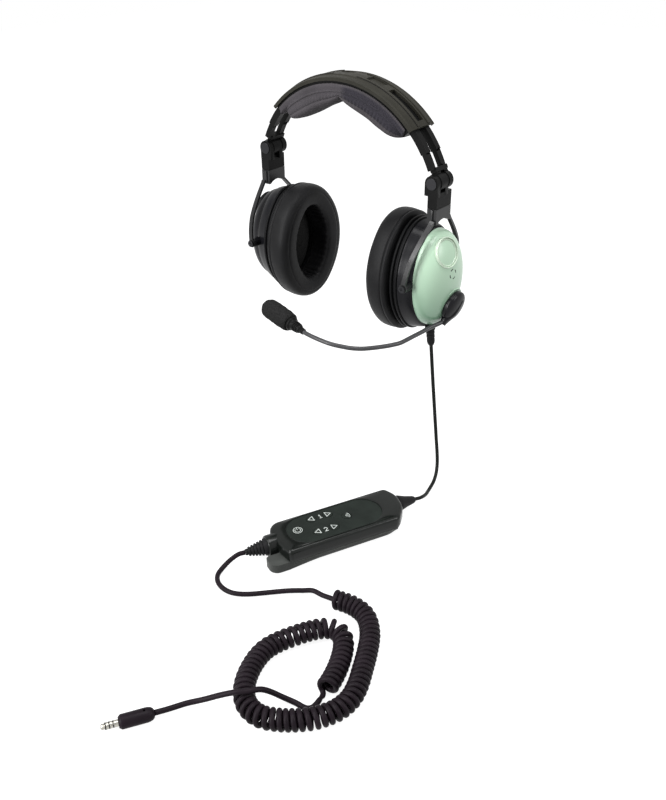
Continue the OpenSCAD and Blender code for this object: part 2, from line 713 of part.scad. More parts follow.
// The frame under the shell has a channel for each rail of the arms.
frame_in = arm_in - 3.3;
frame_floor = arm_in - gap;
frame_end = band_angle - 0.8;
frame_y = band_y - 2;
module band_frame() {
    color([0.1, 0.1, 0.1]) {
        arc_block(frame_in, frame_floor, -frame_y, frame_y, -frame_end, frame_end);
        arc_block(frame_floor - eps, shell_in, arm_front + rail_w + gap, arm_back - gap,
            -frame_end, frame_end);
        arc_block(frame_floor - eps, shell_in, -frame_y, arm_front - gap, -frame_end, frame_end);
        arc_block(frame_floor - eps, shell_in, arm_back + rail_w + gap, frame_y,
            -frame_end, frame_end);
    }
}

// Two lobes that meet in a crease at the top, each deepest half way down its side
pad_end = 45.6;
pad_round = 36;
pad_lobe = [
    [0, 0.47], [3, 0.62], [7, 0.78], [12, 0.89], [18, 0.97], [23, 1], [28, 0.97], [33, 0.85],
    [37, 0.7], [40, 0.54], [42.5, 0.38], [44.5, 0.2], [pad_end, 0.06]];
function pad_r(t) = frame_in - pad_depth * lookup(abs(t), pad_lobe);
function pad_half(t) = abs(t) < pad_round ? band_y + 0.8
    : (band_y + 0.8) * sqrt(max(0.12, 1 - pow((abs(t) - pad_round) / (pad_end - pad_round + 0.6), 2)));
// Half of the pad's section, as shares of its half width and depth: a crown over drawn-in sides
pad_section = [[0.92, 0], [1, 0.12], [0.99, 0.3], [0.95, 0.62], [0.83, 0.85], [0.6, 0.96], [0.32, 0.99]];
function pad_ring(t) =
    let (w = pad_half(t), r = pad_r(t), d = frame_in - r)
    [for (p = concat(
        [for (q = pad_section) [q[0] * w, q[1] * d]], [[0, d]],
        [for (q = reversed(pad_section)) [-q[0] * w, q[1] * d]]))
        [(frame_in - p[1]) * sin(t), p[0], band_z + (frame_in - p[1]) * cos(t)]];
module head_pad() {
    half = concat([1], [for (t = [3:3:pad_end - 3]) t], [pad_end - 1.4, pad_end]);
    rings = [for (t = concat(reversed(half), [for (a = half) -a])) pad_ring(t)];
    sides = len(rings[0]);
    color([0.27, 0.26, 0.28]) {
        polyhedron([for (ring = rings) for (p = ring) p], tube_faces(len(rings), sides), convexity = 8);
        for (y = [-band_y + 0.2 - eps, frame_y])
            arc_block(frame_in - 0.2, arm_r - 1.9, y, y + 1.8, -44, 44);
    }
}

// ---- Cord module ----

floor_z = -210;
module_at = [54.7, -171.2];
module_turn = 66.2;
module module_frame() {
    translate([module_at[0], module_at[1], floor_z]) rotate([0, 0, module_turn]) children();
}

// In the module's frame x runs to the headset's side, y to the far side and z up.
neck_y = -18;
neck_z = 12;
neck_r = 10;
neck_x = -22.5;
neck_l = 16;
function case_outline(inset) = rounded([
    [-15 + inset, -inset, 12], [module_l - inset, -inset, 6], [module_l + 6 - inset, -14, 20],
    [module_l + 3 - inset, -32, 24], [module_l - 9 - inset, inset - module_w, 9],
    [-11 + inset, inset - module_w, 5], [-14.6 + inset, -28, 10]], 6);
module case_slab(inset, z0, z1) {
    translate([0, 0, z0]) linear_extrude(height = z1 - z0) polygon(case_outline(inset));
}

panel_x = 43.5;
panel_half = 27;
panel_r = 19.5;
panel_t = 1.1;
panel_y = -23.5;
panel_floor = module_h - 1.2;
module stadium(r, h) {
    for (s = [-1, 1]) translate([panel_x + s * panel_half, panel_y, 0]) cylinder(r = r, h = h);
    translate([panel_x - panel_half, panel_y - r, 0]) cube([2 * panel_half, 2 * r, h]);
}

// Places of the keys, seen from above
power_key = [7.5, -21.6];
volume_keys = [[25.2, -12.3], [41.6, -12.3], [23, -31.5], [39, -31.5]];
wireless_key = [56.5, -22.4];
all_keys = concat([power_key, wireless_key], volume_keys);
case_top = module_h - module_wall;
board_z = 17;
module_board_t = 1.2;
board_top = board_z + module_board_t;
key_foot = board_top + 0.1 + key_travel;
relief_neck_r = 3.4;
gland_y = -16.5;

module module_upper_case() {
    color([0.05, 0.055, 0.05]) module_frame() difference() {
        union() {
            difference() {
                union() {
                    case_slab(0.5, module_split, module_split + 0.8);
                    case_slab(0, module_split + 0.8, module_h);
                }
                case_slab(module_wall + 0.5, module_split - 1, case_top);
            }
            difference() {
                translate([neck_x, neck_y, neck_z]) rotate([0, 90, 0])
                    cylinder(r = neck_r - eps, h = neck_l);
                translate([neck_x + module_wall, neck_y, neck_z]) rotate([0, 90, 0])
                    cylinder(r = neck_r - module_wall, h = neck_l);
                lower_form(-seat_fit);
                case_slab(module_wall + 0.5, module_split - 1, case_top);
            }
            for (x = [-4, 96], y = [-9, -38]) translate([x, y, board_top])
                cylinder(r = 2, h = case_top - board_top + eps, $fn = 32);
        }
        translate([0, 0, panel_floor]) stadium(panel_r + seat_fit, 3);
        for (p = all_keys) translate([p[0], p[1], case_top - 1])
            cylinder(d = key_d + 2 * gap, h = 4, $fn = 48);
        translate([neck_x - 1, neck_y, neck_z]) rotate([0, 90, 0])
            cylinder(r = relief_neck_r, h = 6, $fn = 32);
        gland_hole();
    }
}

// The gland's hole lies across the split, so both cases have a part of it.
module gland_hole() {
    translate([module_l - 4, gland_y, neck_z]) rotate([0, 90, 0])
        cylinder(r = relief_neck_r, h = 12, $fn = 32);
}

// The lower case's outside: a flat foot under a waist just inside the upper case
module lower_form(inset) {
    foot_inset = 8;
    waist_inset = 0.8;
    hull() {
        case_slab(foot_inset + inset, 0, 0.5);
        case_slab(waist_inset + inset, module_split - 1.4, module_split - gap);
    }
}

// The lower case narrows to a flat foot, and a rounded corner stands out beside the neck.
door_y = -23;
door_half = 9.2;
door_t = 1.2;
door_lip = 1;
lip_z = 0.6;
cell_x0 = 1.2;
cell_z = door_t + gap + cell_d / 2;
cells_end = cell_x0 + 2 * (cell_l + eps);
contact_t = 0.8;
contact_half = 6;
module module_lower_case() {
    floor_t = 2.2;
    color([0.28, 0.28, 0.28]) module_frame() difference() {
        union() {
            lower_form(0);
            translate([0, 0, 1.2]) linear_extrude(height = module_split - 1.2 - gap) polygon(rounded([
                [-27.5, -28.6, 3], [-27.5, -44.5, 8], [-9, -44.5, 1], [-9, -28.6, 1]], 5));
        }
        translate([-7, door_y - 14.2, floor_t]) cube([module_l, 28.4, module_split]);
        translate([cells_end - 2, door_y - contact_half - 2, floor_t])
            cube([5, 2 * contact_half + 4, module_split]);
        translate([-gap, door_y - cell_d / 2 - 1, -1]) cube([cells_end + 2 * gap, cell_d + 2, 5]);
        translate([-gap, door_y - door_half - gap, -1])
            cube([module_l + 20, 2 * (door_half + gap), lip_z + 1]);
        translate([-gap, door_y - door_half - door_lip - gap, lip_z - gap])
            cube([module_l + 20, 2 * (door_half + door_lip + gap), door_t - lip_z + 2 * gap]);
        gland_hole();
    }
}

// The door's edges run in grooves, and it slides out at the headset's end.
module battery_door() {
    door_l = cells_end + contact_t;
    color([0.24, 0.24, 0.24]) module_frame() translate([0, door_y, 0]) {
        translate([0, -door_half, 0]) cube([door_l, 2 * door_half, door_t]);
        translate([0, -door_half - door_lip, lip_z])
            cube([door_l, 2 * (door_half + door_lip), door_t - lip_z]);
    }
}

// Two cells lie end to end, with a spring contact and a plate contact at the ends.
module battery_cells() {
    nub_l = 1.2;
    color([0.75, 0.6, 0.25]) module_frame() for (k = [0, 1])
        translate([cell_x0 + k * (cell_l + eps), door_y, cell_z]) rotate([0, 90, 0]) {
            cylinder(d = cell_d, h = cell_l - nub_l);
            translate([0, 0, cell_l - nub_l]) cylinder(d = 5.4, h = nub_l);
        }
}
module battery_contacts() {
    color([0.8, 0.8, 0.78]) module_frame() {
        for (x = [cell_x0 - contact_t, cells_end]) translate([x, door_y - contact_half, 2.4])
            cube([contact_t - eps, 2 * contact_half, board_z - 2.4]);
    }
}
module module_board() {
    color([0.1, 0.4, 0.22]) module_frame() translate([-7, -41, board_z]) cube([106, 35, module_board_t]);
}

module keypad_panel() {
    color([0.16, 0.18, 0.17]) module_frame() difference() {
        translate([0, 0, panel_floor]) stadium(panel_r, panel_t);
        for (p = all_keys) translate([p[0], p[1], panel_floor - 1])
            cylinder(d = key_d + 2 * gap, h = 4, $fn = 48);
    }
}

// A key has its face in the panel and a flange under the case.
module key(place) {
    color([0.18, 0.2, 0.19]) module_frame() translate([place[0], place[1], 0]) {
        translate([0, 0, key_foot]) cylinder(d = key_d + 2, h = case_top - gap - key_foot, $fn = 48);
        translate([0, 0, key_foot]) cylinder(d = key_d, h = module_h + 0.1 - key_foot, $fn = 48);
    }
}
module power_button() {
    key(power_key);
}
module volume_button_1() {
    key(volume_keys[0]);
}
module volume_button_2() {
    key(volume_keys[1]);
}
module volume_button_3() {
    key(volume_keys[2]);
}
module volume_button_4() {
    key(volume_keys[3]);
}
module wireless_button() {
    key(wireless_key);
}

// Lays the z axis of its children along a direction, from a place.
module pointing(at, dir) {
    d = unit(dir);
    translate(at) rotate([0, acos(d[2]), atan2(d[1], d[0])]) children();
}

// A neck fills the hole in the case's end, and the cone outside it leans towards its tip.
function module_point(p) = [
    module_at[0] + p[0] * cos(module_turn) - p[1] * sin(module_turn),
    module_at[1] + p[0] * sin(module_turn) + p[1] * cos(module_turn), floor_z + p[2]];
gland_from = module_point([module_l + 4.4, gland_y, neck_z]);
gland_to = [121.6, -54.2, -201.5];
gland_dir = unit(gland_to - gland_from);
module module_gland() {
    length = norm(gland_to - gland_from);
    color([0.1, 0.1, 0.1]) {
        difference() {
            pointing(gland_from, gland_dir) rotate_extrude() polygon([
                [0, -3], [7.4, -3], [7.8, 2.6], [7, 5.4], [5.4, 11], [3.6, length - 2],
                [2.6, length], [0, length]]);
            module_frame() case_slab(-eps, -1, module_h + 1);
        }
        module_frame() translate([module_l, gland_y, neck_z]) rotate([0, 90, 0])
            cylinder(r = relief_neck_r - eps, h = 7, $fn = 32);
    }
}

// Ribs stand on a tapering core, and the lead leaves its tip.
relief_from = module_point([neck_x, neck_y, neck_z]);
relief_to = module_point([-41, -14, 9.5]);
relief_dir = unit(relief_to - relief_from);
module ribbed_relief() {
    length = norm(relief_to - relief_from);
    ribs = 6;
    pitch = (length - 2) / ribs;
    base = 2.5;
    taper = 4.2;
    color([0.1, 0.1, 0.1]) {
        difference() {
            pointing(relief_from, relief_dir) rotate_extrude() polygon(concat(
                [[0, -base], [8, -base]],
                [for (k = [0:ribs - 1]) let (z = k * pitch, r = 8 - taper * k / ribs)
                    for (p = [[r, z], [r - 0.35, z + pitch * 0.66], [r - 1.5, z + pitch * 0.7],
                        [r - 1.6, z + pitch * 0.96]]) p],
                [[3.2, length - 2], [2.6, length], [0, length]]));
            module_frame() translate([neck_x - eps, neck_y - 12, 0]) cube([6, 24, 24]);
        }
        module_frame() translate([neck_x - 1, neck_y, neck_z]) rotate([0, 90, 0])
            cylinder(r = relief_neck_r - eps, h = module_wall + 2, $fn = 32);
    }
}

// ---- Cords ----

// The gland under the left cup leans a little outwards.
gland_top = [pivot_x + 1.6, cup_y, cup_z - 49.2];
gland_lean = 6.3;
gland_l = 19.4;
gland_neck_r = 3;
module gland_frame() {
    translate(gland_top) rotate([0, 180 - gland_lean, 0]) children();
}
module cup_gland() {
    color([0.07, 0.07, 0.07]) gland_frame() {
        translate([0, 0, -3.4]) cylinder(r = gland_neck_r - eps, h = 4, $fn = 32);
        rotate_extrude() polygon([
            [0, 0], [4.85, 0], [4.85, 3.4], [3.4, 4], [3.4, 4.8], [4.1, 5], [4.1, 7.6], [3.3, 7.8],
            [3.3, 8.6], [3.95, 8.8], [3.95, 11.4], [3.2, 11.6], [3.2, 12.4], [3.8, 12.6],
            [3.8, 15.4], [3.4, 17.4], [2.4, gland_l], [0, gland_l]]);
    }
}

// The curly cord's axis lies flat, and its wire winds round it in one piece.
coil_r = (coil_d - cord_d) / 2;
coil_z = floor_z + coil_d / 2;
coil_route = [
    [142.7, -210.9], [150.6, -209.3], [167.1, -205.9], [183.2, -209.2], [197.3, -222.2],
    [207.6, -238.9], [216, -255.7], [222.3, -269.1], [226.2, -282.9], [225.4, -295.8],
    [221.5, -305.6], [216, -314.4], [207.2, -323.4], [197, -331], [185.5, -336.2], [172.5, -335.2],
    [161.4, -327.9], [152.6, -315.8], [146.6, -301.1], [144.4, -287.6], [146.6, -275.4],
    [151.6, -262.8], [158, -250.2], [165.3, -240.6], [174, -236.2], [183.2, -239.2],
    [191.2, -248.4], [198.4, -262], [203.4, -275.6], [206.4, -288.6], [207.6, -297.4]];
coil_axis = smooth(coil_route, 6);
coil_key = [for (i = 0, s = 0; i < len(coil_axis); s = s + (i + 1 < len(coil_axis)
    ? norm(coil_axis[i + 1] - coil_axis[i]) : 0), i = i + 1) s];
coil_x_of = [for (i = [0:len(coil_axis) - 1]) [coil_key[i], coil_axis[i][0]]];
coil_y_of = [for (i = [0:len(coil_axis) - 1]) [coil_key[i], coil_axis[i][1]]];
coil_end = coil_key[len(coil_key) - 1];
function on_axis(s) = [lookup(s, coil_x_of), lookup(s, coil_y_of)];
function axis_dir(s) = unit(on_axis(min(s + 2, coil_end)) - on_axis(max(s - 2, 0)));
function coil_bend(s) = max([for (d = [-5, 0, 5])
    let (a = axis_dir(min(s + d + 4, coil_end)), b = axis_dir(max(s + d - 4, 0)))
    asin(min(1, abs(a[0] * b[1] - a[1] * b[0]))) * PI / 180 / 8]);
function coil_place(s, phase) =
    let (c = on_axis(s), t = axis_dir(s), n = [-t[1], t[0]])
    [c[0] + coil_r * cos(phase) * n[0], c[1] + coil_r * cos(phase) * n[1],
        coil_z + coil_r * sin(phase)];

// Turns lie close on the straight, wider on a bend and apart at two places.
turn_gap = 0.5;
open_turns = [[0, 1], [120, 1], [150, 1.12], [176, 1], [268, 1], [292, 1.35], [318, 1], [450, 1]];
function turn_pitch(s) =
    (cord_d + turn_gap) * lookup(s, open_turns) / (1 - (coil_r + 0.3) * coil_bend(s));
steps_per_turn = 8;
lead_in = 8;
first_phase = -10;
// Distances along the axis at which the wire has gone round by one more step. The last one is
// where the wire comes down, so that it leaves under the coil.
exit_step = 5;
all_steps = [for (s = lead_in; s < coil_end - lead_in; s = s + turn_pitch(s) / steps_per_turn) s];
whole_turns = floor((len(all_steps) - 1 - exit_step) / steps_per_turn);
coil_steps = [for (i = [0:whole_turns * steps_per_turn + exit_step]) all_steps[i]];
last_phase = first_phase + (len(coil_steps) - 1) * 360 / steps_per_turn;
// At each end the wire turns from the helix to the axis on a quarter circle, then runs straight.
ease_r = 4.4;
ease_phase = ease_r / coil_r * 180 / PI;
ease_steps = 4;
function ease_in(k) = let (t = 90 * k / ease_steps)
    coil_place(coil_steps[0] - ease_r + ease_r * sin(t), first_phase - ease_phase * cos(t));
function ease_out(k) = let (t = 90 * k / ease_steps)
    coil_place(coil_steps[len(coil_steps) - 1] + ease_r - ease_r * cos(t),
        last_phase + ease_phase * sin(t));
wire_start = ease_in(0);
wire_end = ease_out(ease_steps);
start_dir = axis_dir(coil_steps[0] - ease_r);
end_dir = axis_dir(coil_steps[len(coil_steps) - 1] + ease_r);
coil_wire = concat(
    [wire_start - cord_d * [start_dir[0], start_dir[1], 0]],
    [for (k = [0:ease_steps - 1]) ease_in(k)],
    [for (i = [0:len(coil_steps) - 1]) coil_place(coil_steps[i], first_phase + i * 360 / steps_per_turn)],
    [for (k = [1:ease_steps]) ease_out(k)],
    [wire_end + cord_d * [end_dir[0], end_dir[1], 0]]);
coil_sides = 6;
function wire_length(pts) = sum([for (i = [1:len(pts) - 1]) norm(pts[i] - pts[i - 1])]);
module coil_cord() {
    least = min([for (i = [0:len(coil_wire) - 7]) for (j = [i + 6:len(coil_wire) - 1])
        norm(coil_wire[i] - coil_wire[j])]) - cord_d;
    echo(least_gap = least, turns = (len(coil_steps) - 1) / steps_per_turn,
        wire = wire_length(coil_wire), axis = coil_end);
    color([0.13, 0.09, 0.12]) swept(coil_wire, cord_d / 2, coil_sides);
}

// The plug lies on its barrel. Its frame's z runs to the nose.
plug_end = [122.3, -380.6, floor_z + plug_barrel_d / 2];
plug_turn = 239;
plug_dir = [cos(plug_turn), sin(plug_turn), 0];

// Each route is a list of places along the cord's middle line.
gland_out = [sin(gland_lean), 0, -cos(gland_lean)];
down_route = [
    gland_top + gland_l * gland_out, gland_top + (gland_l + 7.6) * gland_out,
    [97.1, 2.2, -82], [97.8, 2.8, -92], [98.7, 3.2, -103], [99.7, 3.6, -114],
    [100.7, 4, -125], [101.7, 4.4, -136], [102.7, 4.8, -147], [103.8, 5.1, -158],
    [105, 5.2, -169], [106.4, 5, -179], [108.2, 3.8, -188], [110.4, 1, -196],
    [112.8, -4, -202.8], [115, -11, -207], [117, -19, -208.3], [119.4, -27.5, -208],
    [122.3, -36.5, -206], gland_to + 7.4 * gland_dir, gland_to];
start_3d = [start_dir[0], start_dir[1], 0];
end_3d = [end_dir[0], end_dir[1], 0];
lead_route = [
    relief_to, relief_to + 6 * relief_dir, [45.2, -226, -203.6], [44.2, -232.8, -206.2],
    [44.8, -239.4, -207.8], [47.4, -245.4, -208.2], [52, -250, -208.2], [58, -253, -208.2],
    [65, -254.2, -208.2], [72.2, -253.4, -208.2], [79.4, -250, -208.2], [86.4, -244.4, -208.2],
    [93.6, -237, -208.2], [101, -229, -208.2], [109, -220.8, -208.2], [118, -213.2, -207.8],
    [125.5, -208.6, -206.8], coil_wire[0] - 6 * start_3d, coil_wire[0]];
plug_lead_route = [
    coil_wire[len(coil_wire) - 1], coil_wire[len(coil_wire) - 1] + 4 * end_3d,
    [205.9, -303, -208], [203.6, -305.6, -208], [200, -306.6, -207.8], [195, -307.2, -207.4],
    [189.6, -309, -206.2], [184.4, -312.4, -203],
    [179.5, -317, -198], [176, -322, -193.5], [173.5, -327, -191], [170.4, -332, -190.4],
    [164.4, -337.4, -190.8], [158, -342, -193.2],
    [151.4, -346, -196.8], [145, -350, -200.6], [138.8, -354.6, -203.4], [133.4, -360.8, -204.5],
    plug_end - 10 * plug_dir, plug_end];
cord_sides = 8;
module down_cord() {
    color([0.08, 0.08, 0.08]) swept(down_route, down_cord_d / 2, cord_sides);
}
module lead_cord() {
    color([0.08, 0.08, 0.08]) swept(lead_route, cord_d / 2, cord_sides);
}
module plug_lead() {
    color([0.13, 0.1, 0.12]) swept(plug_lead_route, cord_d / 2, cord_sides);
}

module plug_frame() {
    translate(plug_end) rotate([0, 90, plug_turn]) children();
}
shaft_bands = [3.2, 6, 8.8];
band_l = 0.8;
module plug_barrel() {
    r = plug_barrel_d / 2;
    color([0.14, 0.11, 0.13]) plug_frame() difference() {
        rotate_extrude() polygon([
            [0, 0], [2.4, 0], [3.6, 0.6], [4.7, 2], [r - 0.2, 4], [r, 5.4], [r, plug_barrel_l - 2],
            [r - 1.6, plug_barrel_l], [0, plug_barrel_l]]);
        translate([0, 0, 7]) rotate([0, -90, 0]) cylinder(d = 2, h = r + 1, $fn = 32);
        translate([0, 0, plug_barrel_l - 6]) cylinder(r = 1.2, h = 8);
    }
}

// Contacts stand apart on a core, and the rings fill the grooves between them.
module plug_shaft() {
    r = plug_d / 2;
    nose = 3.2;
    color([0.85, 0.85, 0.83]) plug_frame() translate([0, 0, plug_barrel_l]) difference() {
        union() {
            translate([0, 0, -6 + eps]) cylinder(r = 1.2 - eps, h = 7);
            cylinder(r = r, h = plug_l - nose);
            translate([0, 0, plug_l - nose]) rotate_extrude() polygon([
                [0, 0], [r, 0], [r - 0.7, 0.7], [r - 0.2, 1.5], [r - 0.6, 2.4], [0.5, nose], [0, nose]]);
        }
        for (z = shaft_bands) translate([0, 0, z]) difference() {
            cylinder(r = r + 1, h = band_l);
            translate([0, 0, -1]) cylinder(r = r - 0.6, h = 3);
        }
    }
}
module plug_insulators() {
    color([0.1, 0.1, 0.1]) plug_frame() translate([0, 0, plug_barrel_l])
        for (z = shaft_bands) translate([0, 0, z + eps]) difference() {
            cylinder(d = plug_d, h = band_l - 2 * eps);
            translate([0, 0, -1]) cylinder(r = plug_d / 2 - 0.6 + eps, h = 3);
        }
}

cup_shell(1);  // left_cup_shell
seal_plate(1);  // left_seal_plate
ear_seal(1);  // left_ear_seal
baffle(1);  // left_baffle
speaker(1);  // left_speaker
foam(1);  // left_foam
noise_board(1);  // left_board
dome(1);  // left_dome
medallion(1);  // left_medallion
pivot_screws(1);  // left_pivot_screws
boom_hub();
cup_gland();
cup_shell(-1);  // right_cup_shell
seal_plate(-1);  // right_seal_plate
ear_seal(-1);  // right_ear_seal
baffle(-1);  // right_baffle
speaker(-1);  // right_speaker
foam(-1);  // right_foam
noise_board(-1);  // right_board
dome(-1);  // right_dome
medallion(-1);  // right_medallion
pivot_screws(-1);  // right_pivot_screws
boom_knob();
boom_arm();
mic_bracket();
mic_capsule();
windscreen();
yoke(1);  // left_yoke
yoke(-1);  // right_yoke
hinge_block(1);  // left_hinge_block
hinge_block(-1);  // right_hinge_block
hinge_pin(1);  // left_hinge_pin
hinge_pin(-1);  // right_hinge_pin
slider_arm(1);  // left_arm
slider_arm(-1);  // right_arm
band_shell();
band_frame();
head_pad();
module_upper_case();
module_lower_case();
battery_door();
battery_cells();
battery_contacts();
module_board();
keypad_panel();
power_button();
volume_button_1();
volume_button_2();
volume_button_3();
volume_button_4();
wireless_button();
module_gland();
ribbed_relief();
down_cord();
lead_cord();
coil_cord();
plug_lead();
plug_barrel();
plug_shaft();
plug_insulators();
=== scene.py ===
import json
import math

import bmesh
import bpy
import numpy as np
from mathutils import Matrix, Vector


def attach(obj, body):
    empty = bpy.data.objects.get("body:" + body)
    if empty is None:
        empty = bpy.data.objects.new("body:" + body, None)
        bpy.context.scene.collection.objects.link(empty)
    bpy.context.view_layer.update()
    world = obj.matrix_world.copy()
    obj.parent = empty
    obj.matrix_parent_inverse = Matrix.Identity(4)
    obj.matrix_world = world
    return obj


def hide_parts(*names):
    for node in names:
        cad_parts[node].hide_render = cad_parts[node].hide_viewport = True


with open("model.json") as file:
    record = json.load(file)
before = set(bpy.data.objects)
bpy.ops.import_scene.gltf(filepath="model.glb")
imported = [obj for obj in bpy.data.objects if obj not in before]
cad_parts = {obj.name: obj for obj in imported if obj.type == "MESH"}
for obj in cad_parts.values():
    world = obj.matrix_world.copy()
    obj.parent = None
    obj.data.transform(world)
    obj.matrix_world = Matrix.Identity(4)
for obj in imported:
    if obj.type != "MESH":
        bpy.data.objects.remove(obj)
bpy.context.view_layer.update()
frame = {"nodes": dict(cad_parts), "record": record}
mm = 0.001


camera = {
    "place": (0.51399, -0.64069, 0.31932),
    "right": (0.76939, 0.63868, -0.01100),
    "up": (-0.31442, 0.39364, 0.86382),
    "forward": (-0.55604, 0.66116, -0.50368),
    "lens": 40.526,
}


def addCamera(values):
    data = bpy.data.cameras.new("camera")
    data.lens = values["lens"]
    data.sensor_width = 36.0
    data.sensor_fit = "AUTO"
    data.clip_start, data.clip_end = 0.01, 20.0
    eye = bpy.data.objects.new("camera", data)
    back = -Vector(values["forward"])
    axes = Matrix((values["right"], values["up"], back)).transposed().to_4x4()
    eye.matrix_world = Matrix.Translation(values["place"]) @ axes
    bpy.context.scene.collection.objects.link(eye)
    bpy.context.scene.camera = eye


addCamera(camera)
print("camera ready")


def meshPiece(name, points, faces, uv=None):
    # points is n by 3 in metres, faces m by 4 or m by 3 point numbers, uv n by 2
    mesh = bpy.data.meshes.new(name)
    mesh.vertices.add(len(points))
    mesh.vertices.foreach_set("co", np.asarray(points, np.float32).ravel())
    mesh.loops.add(faces.size)
    mesh.loops.foreach_set("vertex_index", faces.ravel().astype(np.int32))
    mesh.polygons.add(len(faces))
    starts = np.arange(0, faces.size, faces.shape[1])
    mesh.polygons.foreach_set("loop_start", starts.astype(np.int32))
    mesh.polygons.foreach_set("use_smooth", np.ones(len(faces), bool))
    if uv is not None:
        layer = mesh.uv_layers.new(name="UVMap")
        layer.data.foreach_set("uv", np.asarray(uv, np.float32)[faces.ravel()].ravel())
    mesh.update(calc_edges=True)
    piece = bpy.data.objects.new(name, mesh)
    bpy.context.scene.collection.objects.link(piece)
    return piece


def gridFaces(rows, columns, closedRows=False, closedColumns=False):
    # quads between neighbours of a rows by columns grid; closed ones also join last to first
    r = np.arange(rows if closedRows else rows - 1)[:, None]
    c = np.arange(columns if closedColumns else columns - 1)[None, :]
    nextR, nextC = (r + 1) % rows, (c + 1) % columns
    quads = np.stack([r * columns + c, r * columns + nextC,
                      nextR * columns + nextC, nextR * columns + c], axis=-1)
    return quads.reshape(-1, 4)


def closeUp(piece, merge=1e-7):
    # merges doubles, fills open rims and turns the faces outwards
    work = bmesh.new()
    work.from_mesh(piece.data)
    bmesh.ops.remove_doubles(work, verts=work.verts, dist=merge)
    rims = [e for e in work.edges if e.is_boundary]
    if rims:
        bmesh.ops.holes_fill(work, edges=rims, sides=0)
    bmesh.ops.recalc_face_normals(work, faces=work.faces)
    work.to_mesh(piece.data)
    work.free()
    return piece


def sharpen(piece, degrees):
    piece.data.shade_smooth()
    piece.data.set_sharp_from_angle(angle=math.radians(degrees))
    return piece


def softEdges(piece, width, degrees):
    bevel = piece.modifiers.new("soft edges", "BEVEL")
    bevel.width = width
    bevel.segments = 2
    bevel.limit_method = "ANGLE"
    bevel.angle_limit = math.radians(degrees)
    bevel.harden_normals = False


def spline(points, steps):
    # Catmull-Rom curve through the points, with that many steps to each span
    p = np.asarray(points, float)
    padded = np.vstack([p[:1], p, p[-1:]])
    t = (np.arange(steps) / steps)[None, :, None]
    a, b, c, d = (padded[i:len(p) - 1 + i][:, None, :] for i in range(4))
    spans = 0.5 * (2 * b + (c - a) * t + (2 * a - 5 * b + 4 * c - d) * t ** 2
                   + (3 * b - a - 3 * c + d) * t ** 3)
    return np.vstack([spans.reshape(-1, p.shape[1]), p[-1:]])


def unitRows(v):
    return v / np.linalg.norm(v, axis=1, keepdims=True)


def travelled(path):
    # the distance gone along the path at each of its points
    return np.concatenate([[0], np.cumsum(np.linalg.norm(np.diff(path, axis=0), axis=1))])


def tubeGrid(path, radius, sides, reference):
    # rings of radius round the path; each ring's first point lies towards the reference
    # direction, made square to the path
    path = np.asarray(path, float)
    along = unitRows(np.gradient(path, axis=0))
    ref = np.broadcast_to(np.asarray(reference, float), path.shape)
    u = unitRows(ref - (ref * along).sum(1, keepdims=True) * along)
    w = np.cross(along, u)
    turn = 2 * np.pi * np.arange(sides) / sides
    r = np.broadcast_to(np.asarray(radius, float).reshape(-1, 1, 1), (len(path), 1, 1))
    return path[:, None, :] + r * (np.cos(turn)[None, :, None] * u[:, None, :]
                                   + np.sin(turn)[None, :, None] * w[:, None, :])


def tube(name, path, radius, sides, reference):
    grid = tubeGrid(path, radius, sides, reference)
    uv = np.stack(np.broadcast_arrays(travelled(path)[:, None] * 100,
                                      np.arange(sides)[None, :] / sides), axis=-1)
    return closeUp(meshPiece(name, grid.reshape(-1, 3), gridFaces(len(grid), sides, False, True),
                             uv.reshape(-1, 2)))


def lathe(name, profile, place, steps=96):
    # profile is rows of (radius, height) in mm, turned about z and set at place, a 4 by 4 matrix
    profile = np.asarray(profile, float)
    turn = 2 * np.pi * np.arange(steps) / steps
    r, z = profile[:, :1], profile[:, 1:]
    grid = np.stack(np.broadcast_arrays(r * np.cos(turn), r * np.sin(turn), z), axis=-1)
    points = carry(grid.reshape(-1, 3), place)
    return closeUp(meshPiece(name, points, gridFaces(len(profile), steps, False, True)))


def carry(points, place):
    # moves points given in mm by a matrix whose shift is in mm, into metres
    m = np.array(place, float)
    return (points @ m[:3, :3].T + m[:3, 3]) * mm


def frameAt(place, x, y, z):
    m = np.eye(4)
    m[:3, 0], m[:3, 1], m[:3, 2], m[:3, 3] = x, y, z, place
    return m


def mirrored(place, side):
    m = np.array(place, float)
    m[0, :] *= side
    return m


def roundedProfile(corners, radius, steps=4):
    # an open line of corners, each inner one rounded by a quadratic bend of that radius
    c = np.asarray(corners, float)
    rows = [c[0]]
    for before, here, after in zip(c[:-2], c[1:-1], c[2:]):
        back, ahead = np.linalg.norm(before - here), np.linalg.norm(after - here)
        reach = min(radius, 0.45 * back, 0.45 * ahead)
        a = here + reach * (before - here) / back
        b = here + reach * (after - here) / ahead
        t = np.linspace(0, 1, steps + 1)[:, None]
        rows.extend((1 - t) ** 2 * a + 2 * t * (1 - t) * here + t ** 2 * b)
    rows.append(c[-1])
    return np.array(rows)


class Value:
    # one socket of a finish; arithmetic on it adds Math nodes
    def __init__(self, finish, socket):
        self.finish, self.socket = finish, socket

    def math(self, operation, first, second):
        return self.finish.add("ShaderNodeMath", {"operation": operation}, {0: first, 1: second})

    def __add__(self, other):
        return self.math("ADD", self, other)

    def __sub__(self, other):
        return self.math("SUBTRACT", self, other)

    def __mul__(self, other):
        return self.math("MULTIPLY", self, other)


